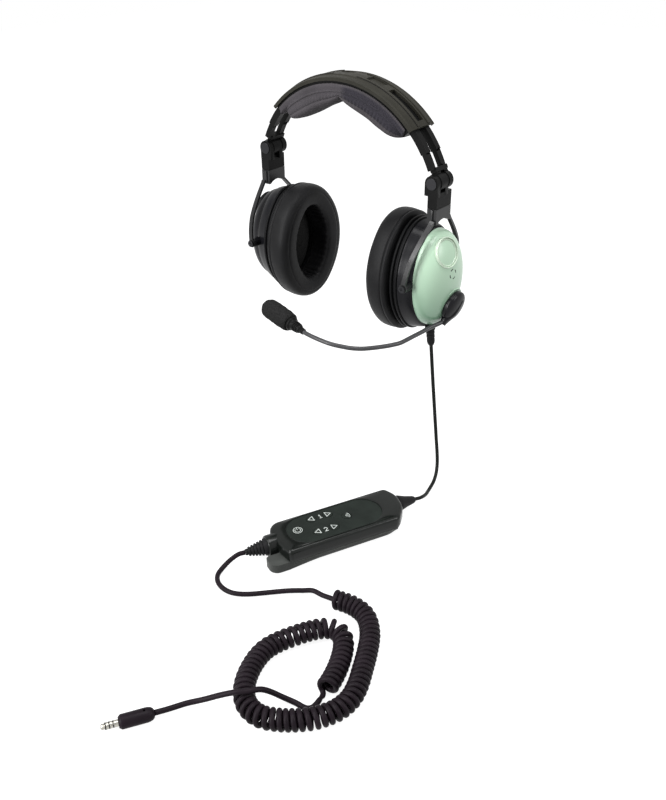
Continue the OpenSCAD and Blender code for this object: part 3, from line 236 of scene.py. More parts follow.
class Finish:
    # a Principled material with a few named builders for its nodes
    def __init__(self, name, colour, roughness, **constants):
        self.material = bpy.data.materials.new(name)
        self.material.use_nodes = True
        self.tree = self.material.node_tree
        self.shader = self.tree.nodes["Principled BSDF"]
        self.colour = (*colour, 1.0)
        self.give("Base Color", self.colour)
        self.give("Roughness", roughness)
        for key, value in constants.items():
            self.give(key.replace("_", " "), value)

    def feed(self, socket, value):
        if isinstance(value, Value):
            self.tree.links.new(value.socket, socket)
        else:
            socket.default_value = value

    def give(self, name, value):
        self.feed(self.shader.inputs[name], value)

    def add(self, kind, settings, inputs, output=0):
        node = self.tree.nodes.new(kind)
        for key, value in settings.items():
            setattr(node, key, value)
        for key, value in inputs.items():
            self.feed(node.inputs[key], value)
        return Value(self, node.outputs[output])

    def place(self, stretch=(1, 1, 1)):
        spot = self.add("ShaderNodeTexCoord", {}, {}, "Object")
        return spot if stretch == (1, 1, 1) else self.add(
            "ShaderNodeMapping", {}, {"Vector": spot, "Scale": stretch})

    def sheetPlace(self):
        return self.add("ShaderNodeUVMap", {"uv_map": "UVMap"}, {})

    def part(self, vector, axis):
        return self.add("ShaderNodeSeparateXYZ", {}, {0: vector}, axis)

    def noise(self, scale, detail=3.0, roughness=0.55, where=None):
        return self.add("ShaderNodeTexNoise", {}, {
            "Vector": where or self.place(), "Scale": scale, "Detail": detail,
            "Roughness": roughness})

    def cells(self, scale, where=None, feature="F1"):
        return self.add("ShaderNodeTexVoronoi", {"feature": feature}, {
            "Vector": where or self.place(), "Scale": scale})

    def between(self, amount, low, high):
        # smooth step of amount from low to high, clamped to 0 and 1
        return self.add("ShaderNodeMapRange", {"interpolation_type": "SMOOTHSTEP"}, {
            "Value": amount, "From Min": low, "From Max": high})

    def blendColours(self, amount, first, second):
        pick = {7 if key == "B" else 6: value for key, value in (("A", first), ("B", second))}
        return self.add("ShaderNodeMix", {"data_type": "RGBA"}, {0: amount, **pick}, 2)

    def emboss(self, height, depth):
        self.give("Normal", self.add("ShaderNodeBump", {}, {
            "Height": height, "Distance": depth, "Strength": 1.0}))


def shade(colour, factor):
    return tuple(min(1.0, c * factor) for c in colour) + (1.0,)


def linear(red, green, blue):
    # display colour, 0 to 255, as linear light
    return tuple(((c / 255 + 0.055) / 1.055) ** 2.4 if c > 10 else c / 3294
                 for c in (red, green, blue))


def moulded(name, colour, roughness, grain=0.00003, grainScale=2600, mottle=0.12, **constants):
    # moulded plastic: fine spark-eroded grain, slow change of sheen and of shade
    finish = Finish(name, colour, roughness, **{"Specular_IOR_Level": 0.07, **constants})
    slow = finish.noise(55, 2)
    fine = finish.noise(grainScale, 2)
    finish.give("Base Color", finish.blendColours(
        finish.between(slow, 0.3, 0.7), shade(colour, 1 - mottle), shade(colour, 1 + mottle)))
    finish.give("Roughness", slow * 0.12 + (roughness - 0.06) + (fine - 0.5) * 0.06)
    finish.emboss(fine, grain)
    return finish


def shadeGraded(name, high, low, roughness):
    # moulded cover with painted shade: its colour darkens from its top edge to its bottom edge,
    # where less light falls
    finish = moulded(name, high, roughness, 0.000014, 1500, 0.03,
                     Coat_Weight=0.3, Coat_Roughness=0.2, Specular_IOR_Level=0.4)
    height = finish.part(finish.place(), 2)
    cloud = finish.noise(40, 2) * 0.006
    # painted shade: the colour blends to the darker one towards the cover's foot
    finish.give("Base Color", finish.blendColours(
        finish.between(height + cloud, -0.052, 0.03), shade(low, 1), shade(high, 1)))
    return finish


def rubbery(name, colour, roughness, grain=0.00004):
    return moulded(name, colour, roughness, grain, 1500, 0.18, Specular_IOR_Level=0.08)


def metallic(name, colour, roughness, stretch):
    # drawn metal: streaks along one direction, in its sheen, shade and relief
    finish = Finish(name, colour, roughness, Metallic=1.0)
    streak = finish.noise(900, 3, 0.6, finish.place(stretch))
    finish.give("Roughness", streak * 0.25 + (roughness - 0.1))
    finish.give("Base Color", finish.blendColours(streak, shade(colour, 0.8), shade(colour, 1.15)))
    finish.emboss(streak, 0.00002)
    return finish


def leather(name, colour):
    # soft leatherette: pebbled grain, fine creases, and a shade and sheen worn in patches
    finish = Finish(name, colour, 0.5, Specular_IOR_Level=0.1)
    pebble = finish.cells(1150, feature="SMOOTH_F1")
    crease = finish.noise(240, 4, 0.6)
    wear = finish.noise(38, 2)
    finish.give("Base Color", finish.blendColours(
        finish.between(wear, 0.35, 0.7), shade(colour, 0.8), shade(colour, 1.3)))
    finish.give("Roughness", wear * 0.2 + crease * 0.12 + 0.3)
    finish.emboss(pebble * 0.5 + crease, 0.00016)
    return finish


def foamy(name, colour, scale, depth):
    # open-cell foam: pits in its relief, with painted shade darkening the pits and a lighter colour
    # on the walls between
    finish = Finish(name, colour, 0.95, Specular_IOR_Level=0.05)
    pores = finish.cells(scale)
    rough = finish.noise(scale * 0.4, 3)
    # painted shade: the colour darkens towards each pit's centre
    finish.give("Base Color", finish.blendColours(
        finish.between(pores, 0.1, 0.6), shade(colour, 0.45), shade(colour, 1.5)))
    finish.emboss(pores + rough * 0.7, depth)
    return finish


def woven(name, colour, edge):
    # plain weave on the piece's own map; its attributes say where the darker cloth colour lies,
    # which is painted shade on the upper side panels, and where near-black lies, on the real seams
    # and as painted shade in the top crease
    finish = Finish(name, colour, 0.95, Specular_IOR_Level=0.08, Sheen_Weight=0.06)
    spot = finish.sheetPlace()
    u, v = finish.part(spot, 0), finish.part(spot, 1)
    warp = finish.add("ShaderNodeMath", {"operation": "SINE"}, {0: u * 3900})
    weft = finish.add("ShaderNodeMath", {"operation": "SINE"}, {0: v * 3900})
    weave = warp * weft
    fuzz = finish.noise(700, 4, 0.7)
    cloud = finish.noise(30, 3)
    # painted shade: where the upper side panels take the darker cloth colour
    strip = finish.add("ShaderNodeAttribute", {"attribute_name": "panel_shade"}, {}, "Fac")
    seam = finish.add("ShaderNodeAttribute", {"attribute_name": "seam"}, {}, "Fac")
    body = finish.blendColours(finish.between(cloud * 0.6 + fuzz * 0.4, 0.35, 0.65),
                               shade(colour, 0.82), shade(colour, 1.18))
    # painted shade: the body cloth blends to the darker colour on the shaded side panels
    withPanelShade = finish.blendColours(strip, body, finish.blendColours(
        finish.between(fuzz, 0.4, 0.6), shade(edge, 0.85), shade(edge, 1.15)))
    # near-black marks the real dark seams and painted shade in the crease at the top
    finish.give("Base Color", finish.blendColours(seam, withPanelShade, (0.006, 0.006, 0.007, 1)))
    finish.emboss(weave * 0.5 + fuzz * 0.8 - seam * 1.5, 0.00018)
    return finish


shades = {
    "shell": linear(16, 16, 19), "plate": linear(15, 15, 16), "leather": linear(22, 22, 23),
    # the second dome colour is painted shade, the colour at the dome's foot where less light falls
    "dome": linear(173, 202, 177), "domePaintedShade": linear(108, 149, 121),
    "medallion": linear(190, 208, 188), "boom": linear(53, 53, 55),
    "satin": linear(16, 16, 16), "yoke": linear(24, 24, 25), "band": linear(45, 44, 39),
    # the second pad colour is painted shade on the upper side panels
    "pad": linear(68, 65, 68), "panel_shade": linear(48, 46, 52), "module": linear(14, 17, 15),
    "moduleGrey": linear(66, 68, 66), "keypad": linear(29, 34, 31), "marks": linear(186, 192, 188),
    "cord": linear(22, 24, 22), "coil": linear(25, 19, 24), "foam": linear(30, 30, 30),
}
finishes = {
    "shell_black": moulded("shell_black", shades["shell"], 0.34, 0.000012, 1800, 0.1,
                           Coat_Weight=0.14, Coat_Roughness=0.2),
    "plate_black": moulded("plate_black", shades["plate"], 0.42),
    "leatherette": leather("leatherette", shades["leather"]),
    "inner_plastic": moulded("inner_plastic", linear(35, 35, 38), 0.6),
    "speaker_metal": metallic("speaker_metal", linear(120, 120, 124), 0.45, (1, 1, 6)),
    "foam": foamy("foam", shades["foam"], 1300, 0.0004),
    "board_green": moulded("board_green", linear(31, 90, 53), 0.4),
    # the dome's finish paints shade into its colour, darker towards its foot
    "dome_green": shadeGraded("dome_green", shades["dome"], shades["domePaintedShade"], 0.34),
    "medallion_green": moulded("medallion_green", shades["medallion"], 0.2, 0.000008, 900, 0.05,
                               Coat_Weight=0.8, Coat_Roughness=0.03, Specular_IOR_Level=0.4),
    "screw_steel": metallic("screw_steel", linear(50, 50, 52), 0.3, (1, 1, 5)),
    "soft_rubber": rubbery("soft_rubber", linear(25, 25, 26), 0.5),
    "boom_grey": moulded("boom_grey", shades["boom"], 0.34, 0.00003, 1900, Specular_IOR_Level=0.3),
    "satin_black": moulded("satin_black", shades["satin"], 0.38),
    "yoke_black": moulded("yoke_black", shades["yoke"], 0.3, 0.00003, 2100, Specular_IOR_Level=0.3),
    "band_black": moulded("band_black", shades["band"], 0.5, 0.00006, 1500),
    "pad_fabric": woven("pad_fabric", shades["pad"], shades["panel_shade"]),
    "module_black": moulded("module_black", shades["module"], 0.3, 0.000015, 1800, 0.1,
                            Coat_Weight=0.3, Coat_Roughness=0.12),
    "module_grey": moulded("module_grey", shades["moduleGrey"], 0.42, 0.00004, 1800),
    "cell_wrap": moulded("cell_wrap", linear(176, 138, 58), 0.3),
    "contact_metal": metallic("contact_metal", linear(168, 166, 158), 0.25, (1, 1, 1)),
    "keypad_grey": rubbery("keypad_grey", shades["keypad"], 0.55),
    "cord_black": rubbery("cord_black", shades["cord"], 0.42, 0.00003),
    "coil_purple": rubbery("coil_purple", shades["coil"], 0.46, 0.00004),
}
marksFinish = rubbery("key_marks", shades["marks"], 0.6)


def dress(piece, slotName, body=None, replaced=(), finish=None):
    # the piece takes that slot's finish, rides on its body and stands for CAD nodes
    piece.data.materials.clear()
    piece.data.materials.append((finish or finishes[slotName]).material)
    if body:
        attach(piece, body)
    if replaced:
        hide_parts(*replaced)


print("finishes ready")


cords = {
    "downDiameter": 3.5, "diameter": 4.4, "coilDiameter": 17.0, "turnGap": 0.1, "leadIn": 8.0,
    "firstPhase": -10.0, "stepsPerTurn": 8, "exitStep": 5, "easeRadius": 4.4, "floor": -210.0,
    "fineSteps": 22, "sides": 12,
}
glandTop = np.array([93.3411, 2.0, -46.2])
glandLean = math.radians(6.3)
glandLength = 19.4
glandOut = np.array([math.sin(glandLean), 0.0, -math.cos(glandLean)])
module = {"x": 54.7, "y": -171.2, "turn": math.radians(66.2), "floor": -210.0}


def modulePoint(p):
    # a place in the module's own frame, x to the headset's side and y to its far side, in mm
    p = np.asarray(p, float)
    c, s = math.cos(module["turn"]), math.sin(module["turn"])
    return np.stack([module["x"] + p[..., 0] * c - p[..., 1] * s,
                     module["y"] + p[..., 0] * s + p[..., 1] * c,
                     module["floor"] + p[..., 2]], axis=-1)


glandFrom = modulePoint([112.4, -16.5, 12.0])
glandTo = np.array([121.6, -54.2, -201.5])
glandDir = (glandTo - glandFrom) / np.linalg.norm(glandTo - glandFrom)
reliefFrom = modulePoint([-22.5, -18.0, 12.0])
reliefTo = modulePoint([-41.0, -14.0, 9.5])
reliefDir = (reliefTo - reliefFrom) / np.linalg.norm(reliefTo - reliefFrom)
plugEnd = np.array([122.3, -380.6, -204.5])
plugTurn = math.radians(239)
plugDir = np.array([math.cos(plugTurn), math.sin(plugTurn), 0.0])
downRoute = [
    glandTop + glandLength * glandOut, glandTop + (glandLength + 7.6) * glandOut,
    [97.1, 2.2, -82], [97.8, 2.8, -92], [98.7, 3.2, -103], [99.7, 3.6, -114],
    [100.7, 4, -125], [101.7, 4.4, -136], [102.7, 4.8, -147], [103.8, 5.1, -158],
    [105, 5.2, -169], [106.4, 5, -179], [108.2, 3.8, -188], [110.4, 1, -196],
    [112.8, -4, -202.8], [115, -11, -207], [117, -19, -208.3], [119.4, -27.5, -208],
    [122.3, -36.5, -206], glandTo + 7.4 * glandDir, glandTo]
coilRoute = np.array([
    [142.7, -210.9], [150.6, -209.3], [167.1, -205.9], [183.2, -209.2], [197.3, -222.2],
    [207.6, -238.9], [216, -255.7], [222.3, -269.1], [226.2, -282.9], [225.4, -295.8],
    [221.5, -305.6], [216, -314.4], [207.2, -323.4], [197, -331], [185.5, -336.2],
    [172.5, -335.2], [161.4, -327.9], [152.6, -315.8], [146.6, -301.1], [144.4, -287.6],
    [146.6, -275.4], [151.6, -262.8], [158, -250.2], [165.3, -240.6], [174, -236.2],
    [183.2, -239.2], [191.2, -248.4], [198.4, -262], [203.4, -275.6], [206.4, -288.6],
    [207.6, -297.4]])
# distance along the coil's axis, in mm, then how far the turns there open, as a share
openTurns = np.array([
    [0, 1], [150, 1], [165, 1.1], [178, 1], [280, 1], [296, 1.25], [312, 1]], float)


class Coil:
    # a helix round a flat axis curve: the wire's place is the axis place at distance s, plus
    # the radius times the cosine of the phase sideways and its sine upwards
    def __init__(self, values):
        self.v = values
        self.radius = (values["coilDiameter"] - values["diameter"]) / 2
        self.z = values["floor"] + values["coilDiameter"] / 2
        self.axis = spline(coilRoute, 6)
        self.key = travelled(self.axis)
        self.end = self.key[-1]

    def onAxis(self, s):
        return np.stack([np.interp(s, self.key, self.axis[:, i]) for i in (0, 1)], axis=-1)

    def direction(self, s):
        d = self.onAxis(np.minimum(s + 2, self.end)) - self.onAxis(np.maximum(s - 2, 0))
        return d / np.linalg.norm(d, axis=-1, keepdims=True)

    def bend(self, s):
        # the largest turn per mm over three windows of 8 mm
        at = s + np.array([-5.0, 0.0, 5.0])
        a = self.direction(np.minimum(at + 4, self.end))
        b = self.direction(np.maximum(at - 4, 0))
        cross = np.abs(a[:, 0] * b[:, 1] - a[:, 1] * b[:, 0])
        return float(np.arcsin(np.minimum(1, cross)).max() / 8)

    def pitch(self, s):
        share = np.interp(s, openTurns[:, 0], openTurns[:, 1])
        fan = 1 / (1 - (self.radius + 0.3) * self.bend(s))
        return (self.v["diameter"] + self.v["turnGap"]) * share * (0.5 + 0.5 * fan)

    def place(self, s, phase):
        # phase in degrees
        c, t = self.onAxis(s), self.direction(s)
        side = np.stack([-t[..., 1], t[..., 0]], axis=-1)
        out = self.radius * np.cos(np.radians(phase))
        flat = c + out[..., None] * side
        z = self.z + self.radius * np.sin(np.radians(phase))
        return np.concatenate([flat, z[..., None]], axis=-1)

    def wire(self):
        # whole path of the wire, with a quarter circle at each end onto the axis direction
        per = self.v["stepsPerTurn"]
        s, steps = self.v["leadIn"], []
        while s < self.end - self.v["leadIn"]:
            steps.append(s)
            s += self.pitch(s) / per
        turns = (len(steps) - 1 - self.v["exitStep"]) // per
        steps = np.array(steps[:turns * per + self.v["exitStep"] + 1])
        phases = self.v["firstPhase"] + np.arange(len(steps)) * 360 / per
        fine = np.linspace(phases[0], phases[-1],
                           int(round((phases[-1] - phases[0]) / 360 * self.v["fineSteps"])) + 1)
        ease = self.v["easeRadius"]
        easeTurn = math.degrees(ease / self.radius)
        t = np.radians(np.linspace(0, 90, 7))
        into = self.place(steps[0] - ease + ease * np.sin(t), phases[0] - easeTurn * np.cos(t))
        out = self.place(steps[-1] + ease - ease * np.cos(t), phases[-1] + easeTurn * np.sin(t))
        self.startDir = np.append(self.direction(np.array(steps[0] - ease)), 0)
        self.endDir = np.append(self.direction(np.array(steps[-1] + ease)), 0)
        body = self.place(np.interp(fine, phases, steps), fine)
        d = self.v["diameter"]
        return np.vstack([into[0] - d * self.startDir, into[:-1], body, out[1:],
                          out[-1] + d * self.endDir])


coil = Coil(cords)
coilWire = coil.wire()
leadRoute = [
    reliefTo, reliefTo + 6 * reliefDir, [45.2, -226, -203.6], [44.2, -232.8, -206.2],
    [44.8, -239.4, -207.8], [47.4, -245.4, -208.2], [52, -250, -208.2], [58, -253, -208.2],
    [65, -254.2, -208.2], [72.2, -253.4, -208.2], [79.4, -250, -208.2], [86.4, -244.4, -208.2],
    [93.6, -237, -208.2], [101, -229, -208.2], [109, -220.8, -208.2], [118, -213.2, -207.8],
    [125.5, -208.6, -206.8], coilWire[0] - 6 * coil.startDir, coilWire[0]]
plugRoute = [
    coilWire[-1], coilWire[-1] + 4 * coil.endDir, [205.9, -303, -208], [203.6, -305.6, -208],
    [200, -306.6, -207.8], [195, -307.2, -207.4], [189.6, -309, -206.2], [184.4, -312.4, -203],
    [179.5, -317, -198], [176, -322, -193.5], [173.5, -327, -191], [170.4, -332, -190.4],
    [164.4, -337.4, -190.8], [158, -342, -193.2], [151.4, -346, -196.8], [145, -350, -200.6],
    [138.8, -354.6, -203.4], [133.4, -360.8, -204.5], plugEnd - 10 * plugDir, plugEnd]


def sideReference(path, coilSpan):
    # rings look away from the coil's axis on the coil and sideways on the straight cords
    along = unitRows(np.gradient(path, axis=0))
    flat = np.stack([-along[:, 1], along[:, 0], np.zeros(len(path))], axis=1)
    first, last = coilSpan
    s = np.linspace(0, coil.end, 3000)
    axisPoints = np.column_stack([coil.onAxis(s), np.full(len(s), coil.z)])
    wire = path[first:last]
    near = np.argmin(((wire[:, None, :] - axisPoints[None, ::4, :]) ** 2).sum(-1), axis=1) * 4
    flat[first:last] = wire - axisPoints[near]
    return flat


leadPath = spline(np.array(leadRoute), 4)
plugPath = spline(np.array(plugRoute), 4)
for path in (leadPath, plugPath):
    path[:, 2] = np.maximum(path[:, 2], cords["floor"] + cords["diameter"] / 2 + 0.02)
wholePath = np.vstack([leadPath[:-1], coilWire[:-1], plugPath])
coilSpan = (len(leadPath) - 1, len(leadPath) + len(coilWire) - 2)
curlyCord = tube("curly_cord", wholePath * mm, cords["diameter"] / 2 * mm, cords["sides"],
                 sideReference(wholePath, coilSpan))
dress(curlyCord, "coil_purple", "left_cup", ("lead_cord", "coil_cord", "plug_lead"))
downPath = spline(np.array(downRoute), 5)
downCord = tube("cup_cord", downPath * mm, cords["downDiameter"] / 2 * mm, 16, (0, 1, 0.2))
dress(downCord, "cord_black", "left_cup", ("down_cord",))


cup = {
    "y": 2.0, "z": 3.0, "halfDepth": 40.0, "halfHeight": 54.0, "endRadius": 30.0,
    "sealIn": 48.041, "plateIn": 71.041, "shellIn": 80.541, "domeIn": 94.041,
    "shellInset": 2.5, "draft": 3.5, "sealWidth": 19.0, "foamBack": 80.5,
    "columns": 224, "creases": 34, "flankBulge": 2.2,
}
boss = {"out": 91.741, "fromMiddle": 41.6, "up": 5.4}
endY = cup["halfHeight"] - cup["endRadius"]
sideOffset = ((endY ** 2 - (cup["halfDepth"] - cup["endRadius"]) ** 2)
              / (2 * (cup["halfDepth"] - cup["endRadius"])))
sideRadius = cup["halfDepth"] + sideOffset
joinAngle = math.atan2(endY, sideOffset)


def ramp(x):
    return np.clip(x, 0, 1)


def smoothStep(x, low, high):
    t = ramp((x - low) / (high - low))
    return t * t * (3 - 2 * t)


def sideWord(side):
    return "left" if side > 0 else "right"


def ovalOutline(count):
    # four arcs with common tangents: places and outward normals at equal steps along the outline
    arcs = [sideRadius * joinAngle, cup["endRadius"] * (math.pi - 2 * joinAngle),
            2 * sideRadius * joinAngle, cup["endRadius"] * (math.pi - 2 * joinAngle),
            sideRadius * joinAngle]
    turns = [0, joinAngle, math.pi - joinAngle, math.pi + joinAngle, 2 * math.pi - joinAngle,
             2 * math.pi]
    s = np.arange(count) / count * sum(arcs)
    angle = np.interp(s, np.concatenate([[0], np.cumsum(arcs)]), turns)
    normal = np.stack([np.cos(angle), np.sin(angle)], axis=1)
    top = (angle >= joinAngle) & (angle < math.pi - joinAngle)
    back = (angle >= math.pi - joinAngle) & (angle < math.pi + joinAngle)
    low = (angle >= math.pi + joinAngle) & (angle < 2 * math.pi - joinAngle)
    centre = np.zeros((count, 2))
    centre[:, 0] = np.where(top | low, 0, np.where(back, sideOffset, -sideOffset))
    centre[:, 1] = np.where(top, endY, np.where(low, -endY, 0))
    radius = np.where(top | low, cup["endRadius"], sideRadius)[:, None]
    return centre + radius * normal, normal, s


def cupPoints(across, up, out, side):
    # the cup's own places, in mm, as places of the headset in metres
    across, up, out = np.broadcast_arrays(across, up, out)
    return np.stack([side * out, cup["y"] + across, cup["z"] + up], axis=-1).reshape(-1, 3) * mm


def ovalSweep(name, profile, side, bumps=None):
    # profile rows are (offset from the outline, distance out), carried round the oval and
    # closed; bumps gives a further offset and distance out, from the share of the way round
    columns = cup["columns"]
    profile = np.asarray(profile, float)
    spot, normal, s = ovalOutline(columns)
    offset = np.broadcast_to(profile[:, :1], (len(profile), columns))
    out = np.broadcast_to(profile[:, 1:], (len(profile), columns))
    if bumps is not None:
        more, moreOut = bumps(s[None, :] / s[-1])
        offset, out = offset + more, out + moreOut
    across = spot[None, :, 0] + offset * normal[None, :, 0]
    up = spot[None, :, 1] + offset * normal[None, :, 1]
    return closeUp(meshPiece(name, cupPoints(across, up, out, side),
                             gridFaces(len(profile), columns, True, True)))


def ripple(s, seed, waves, low, high):
    # a sum of sines round the outline with seeded shares and phases, between -1 and 1
    random = np.random.default_rng(seed)
    counts = random.integers(low, high, waves)
    phases = random.uniform(0, 2 * np.pi, waves)
    share = random.uniform(0.4, 1.0, waves)
    total = sum(a * np.sin(2 * np.pi * n * s + p) for a, n, p in zip(share, counts, phases))
    return total / share.sum()


# offset from the outline, then distance behind the cushion's face, in mm: up the wall of the
# well, over the face and down the flank to the plate
sealLine = np.array([
    [-16.9, 22.9], [-16.7, 19], [-16.4, 15], [-16.6, 11], [-17.0, 7.6], [-16.8, 4.6], [-15.4, 2.2],
    [-13.2, 1.0], [-10.6, 0.5], [-7.6, 0.15], [-5.0, 0.1], [-3.7, 0.45], [-3.3, 0.75], [-2.7, 0.6],
    [-1.2, 0.95], [0.4, 1.9], [1.6, 3.3], [2.5, 5.2], [3.0, 7.4], [3.2, 9.8], [3.25, 12.2],
    [3.15, 14.6], [2.95, 16.6], [2.6, 17.9], [2.0, 18.5], [2.4, 19.1], [2.7, 20.0], [2.5, 21.2],
    [1.4, 22.2], [-0.6, 22.7], [-3.4, 22.95]])


def buildSeal(side):
    # creases gather the well's wall, and the face and flank are a little uneven
    word = sideWord(side)
    line = spline(sealLine, 4)
    line[:, 1] += cup["sealIn"]
    offset, h = line[:, :1], (line[:, 1] - cup["sealIn"])[:, None]
    inner = ramp((-offset - 12.4) / 3) * ramp(h / 5) * ramp((22 - h) / 3)
    outer = ramp((offset + 3) / 3) * ramp((h - 6) / 3) * ramp((21 - h) / 4)
    face = ramp((4 - h) / 4)
    flank = np.abs(ovalOutline(cup["columns"])[1][None, :, 0]) ** 3
    wall = cup["flankBulge"] * smoothStep(offset, -5, 1.5)

    def bumps(s):
        pleat = np.abs(np.sin(np.pi * cup["creases"] * s + 0.6 * ripple(s, 5, 3, 2, 6))) ** 0.45
        uneven = 0.75 + 0.25 * ripple(s, 9, 4, 3, 9)
        across = inner * (1.5 * (1 - pleat) * uneven - 0.25 * ripple(s + h / 300, 3, 6, 6, 22))
        across = across + outer * 0.2 * ripple(s + h / 500, 11 + side, 5, 3, 13) + wall * flank
        return across, face * 0.22 * ripple(s + h / 200, 21 + side, 6, 3, 15)

    piece = ovalSweep(word + "_seal_cushion", line, side, bumps)
    dress(piece, "leatherette", word + "_cup", (word + "_ear_seal",))


def buildShell(side):
    word = sideWord(side)
    inset, top = -cup["shellInset"], -cup["shellInset"] - cup["draft"]
    bowed = [[inset, cup["shellIn"]], [inset, cup["shellIn"] + 0.6], [inset - 0.9, 84.6],
             [inset - 2.1, 89.4], [top + 0.3, 92.4], [top - 0.6, 93.6], [top - 1.8, cup["domeIn"]]]
    line = np.vstack([spline(bowed, 5), [[-14.9, cup["domeIn"]], [-14.9, 91.6], [-8.6, 91.6],
                                        [-5.1, cup["shellIn"]]]])
    shell = ovalSweep(word + "_shell", line, side)
    dress(sharpen(shell, 40), "shell_black", word + "_cup", (word + "_cup_shell",))


def buildPlate(side):
    # two ridges with a groove between them run round the plate's edge
    word = sideWord(side)
    ridges = roundedProfile([
        [-19, 71.04], [-3.4, 71.04], [-3.4, 73.2], [-0.5, 73.6], [-0.45, 75.7], [-3.0, 76.2],
        [-3.0, 77.8], [-0.9, 78.3], [-0.9, 80.54], [-19, 80.54]], 0.7)
    plate = ovalSweep(word + "_plate", ridges, side)
    dress(sharpen(plate, 40), "plate_black", word + "_cup", (word + "_seal_plate",))


def buildBosses(side):
    # the stubs on the shell that the yoke's pivots turn in
    word = sideWord(side)
    line = roundedProfile([[0, -9], [4.3, -9], [4.05, -2.4], [4.0, -1.31], [0, -1.31]], 0.4)
    for way, back in (("front", -1), ("back", 1)):
        place = frameAt((side * boss["out"], back * boss["fromMiddle"], boss["up"]),
                        (1, 0, 0), (0, 0, back * -1.0), (0, back, 0))
        stub = lathe(f"{word}_boss_{way}", line, place, 64)
        dress(sharpen(stub, 40), "shell_black", word + "_cup")


dome = {
    "halfDepth": 33.4, "halfHeight": 45.6, "height": 21.4, "power": 0.82, "y": 0.7, "z": 0.2,
    "rows": 56, "columns": 160,
    "paints": {"left": ("dome_green", "medallion_green"), "right": ("shell_black", "plate_black")},
}
medallion = {"place": (111.241, -2.5, 31.8), "tilt": (71.9, -6.7)}
knob = {"place": (111.541, 7.0, -21.0), "tilt": 15.0, "radius": 14.5, "height": 9.0}


def tiltedFrame(place, about, turn):
    # z turned about y by the first angle, then about z by the second
    m = Matrix.Rotation(math.radians(turn), 4, "Z") @ Matrix.Rotation(math.radians(about), 4, "Y")
    m = np.array(m)
    m[:3, 3] = place
    return m


medallionFrame = tiltedFrame(medallion["place"], *medallion["tilt"])
knobFrame = tiltedFrame(knob["place"], 90 + knob["tilt"], 0)


def domePoint(around, rise):
    # superellipsoid: the height is the sine of the rise to a power; angles in radians
    across = dome["y"] + dome["halfDepth"] * np.cos(rise) * np.cos(around)
    up = dome["z"] + dome["halfHeight"] * np.cos(rise) * np.sin(around)
    out = cup["domeIn"] + dome["height"] * np.sin(rise) ** dome["power"]
    return across, up, out


def buildDome(side):
    word = sideWord(side)
    rise = (np.linspace(0, 1, dome["rows"]) ** 1.15 * np.pi / 2)[:, None]
    around = (2 * np.pi * np.arange(dome["columns"]) / dome["columns"])[None, :]
    across, up, out = domePoint(around, rise)
    foot = [cup["domeIn"] - 0.001 + 0 * out[:1], cup["domeIn"] + 0.8 + 0 * out[:1]]
    across = np.vstack([across[:1] * 0.985, across[:1], across])
    up = np.vstack([up[:1] * 0.985, up[:1], up])
    out = np.vstack([foot[0], foot[0], np.maximum(out, foot[1])])
    cover = meshPiece(word + "_dome_cover", cupPoints(across, up, out, side),
                      gridFaces(dome["rows"] + 2, dome["columns"], False, True))
    dress(closeUp(cover, 1e-6), dome["paints"][word][0], word + "_cup", (word + "_dome",))


def buildMedallion(side):
    # a raised collar and a bare dished disc inside it
    word = sideWord(side)
    paint = dome["paints"][word][1]
    rim = roundedProfile([
        [0, -5], [14.0, -5], [14.0, -0.6], [13.6, 0.1], [12.9, 0.2], [12.55, -1.6], [0, -1.6]], 0.4)
    place = mirrored(medallionFrame, side)
    collar = lathe(word + "_medallion_collar", rim, place)
    dress(sharpen(collar, 50), paint, word + "_cup")
    disc = roundedProfile([
        [0, -2.6], [12.2, -2.6], [12.2, -0.9], [11.9, -0.6], [11.3, -0.7], [10.9, -1.5],
        [10.2, -1.6], [6, -1.2], [0, -1.0]], 0.35)
    plate = lathe(word + "_medallion_disc", disc, place)
    dress(sharpen(plate, 50), paint, word + "_cup", (word + "_medallion",))


vent = {"count": 4, "across": 1.8, "up": 8.2, "radius": 4.4, "width": 1.0, "first": 20.0,
        "spread": 50.0, "steps": 14}


def buildVent(side, k):
    # a short dark arc laid on the dome, painted shade standing for a vent slit's hollow: its places
    # are solved from the dome's height over the oval
    word, share = sideWord(side), np.linspace(-1, 1, vent["steps"])
    middle = 360 / vent["count"] * k + vent["first"]
    angles = np.radians(middle + share / 2 * vent["spread"])
    taper = vent["width"] / 2 * np.sqrt(np.clip(1 - share ** 4, 0.02, 1))
    rows = []
    for offset, lift in ((-1, -0.5), (-1, 0.05), (-0.6, 0.09), (0.6, 0.09), (1, 0.05), (1, -0.5)):
        r = vent["radius"] + offset * taper
        a = vent["across"] - cup["y"] + r * np.cos(angles)
        b = vent["up"] + r * np.sin(angles)
        reach = np.hypot((a - dome["y"]) / dome["halfDepth"], (b - dome["z"]) / dome["halfHeight"])
        out = cup["domeIn"] + dome["height"] * np.sin(np.arccos(reach)) ** dome["power"]
        rows.append(np.stack([a, b, out + lift], axis=1))
    grid = np.array(rows)
    piece = meshPiece(f"{word}_vent_{k + 1}", cupPoints(*np.moveaxis(grid, -1, 0), side),
                      gridFaces(len(rows), vent["steps"], True, False))
    # painted shade: the arc is dark for the shadow inside the slit
    dress(closeUp(piece), "inner_plastic", word + "_cup")


def buildKnobSeat():
    seat = roundedProfile([[0, -6], [17.4, -6], [16.6, -1.4], [16.0, -0.1], [15.2, 0.0],
                           [14.9, -0.5], [0, -0.5]], 0.7)
    dress(sharpen(lathe("knob_seat", seat, knobFrame), 50), "dome_green", "left_cup")


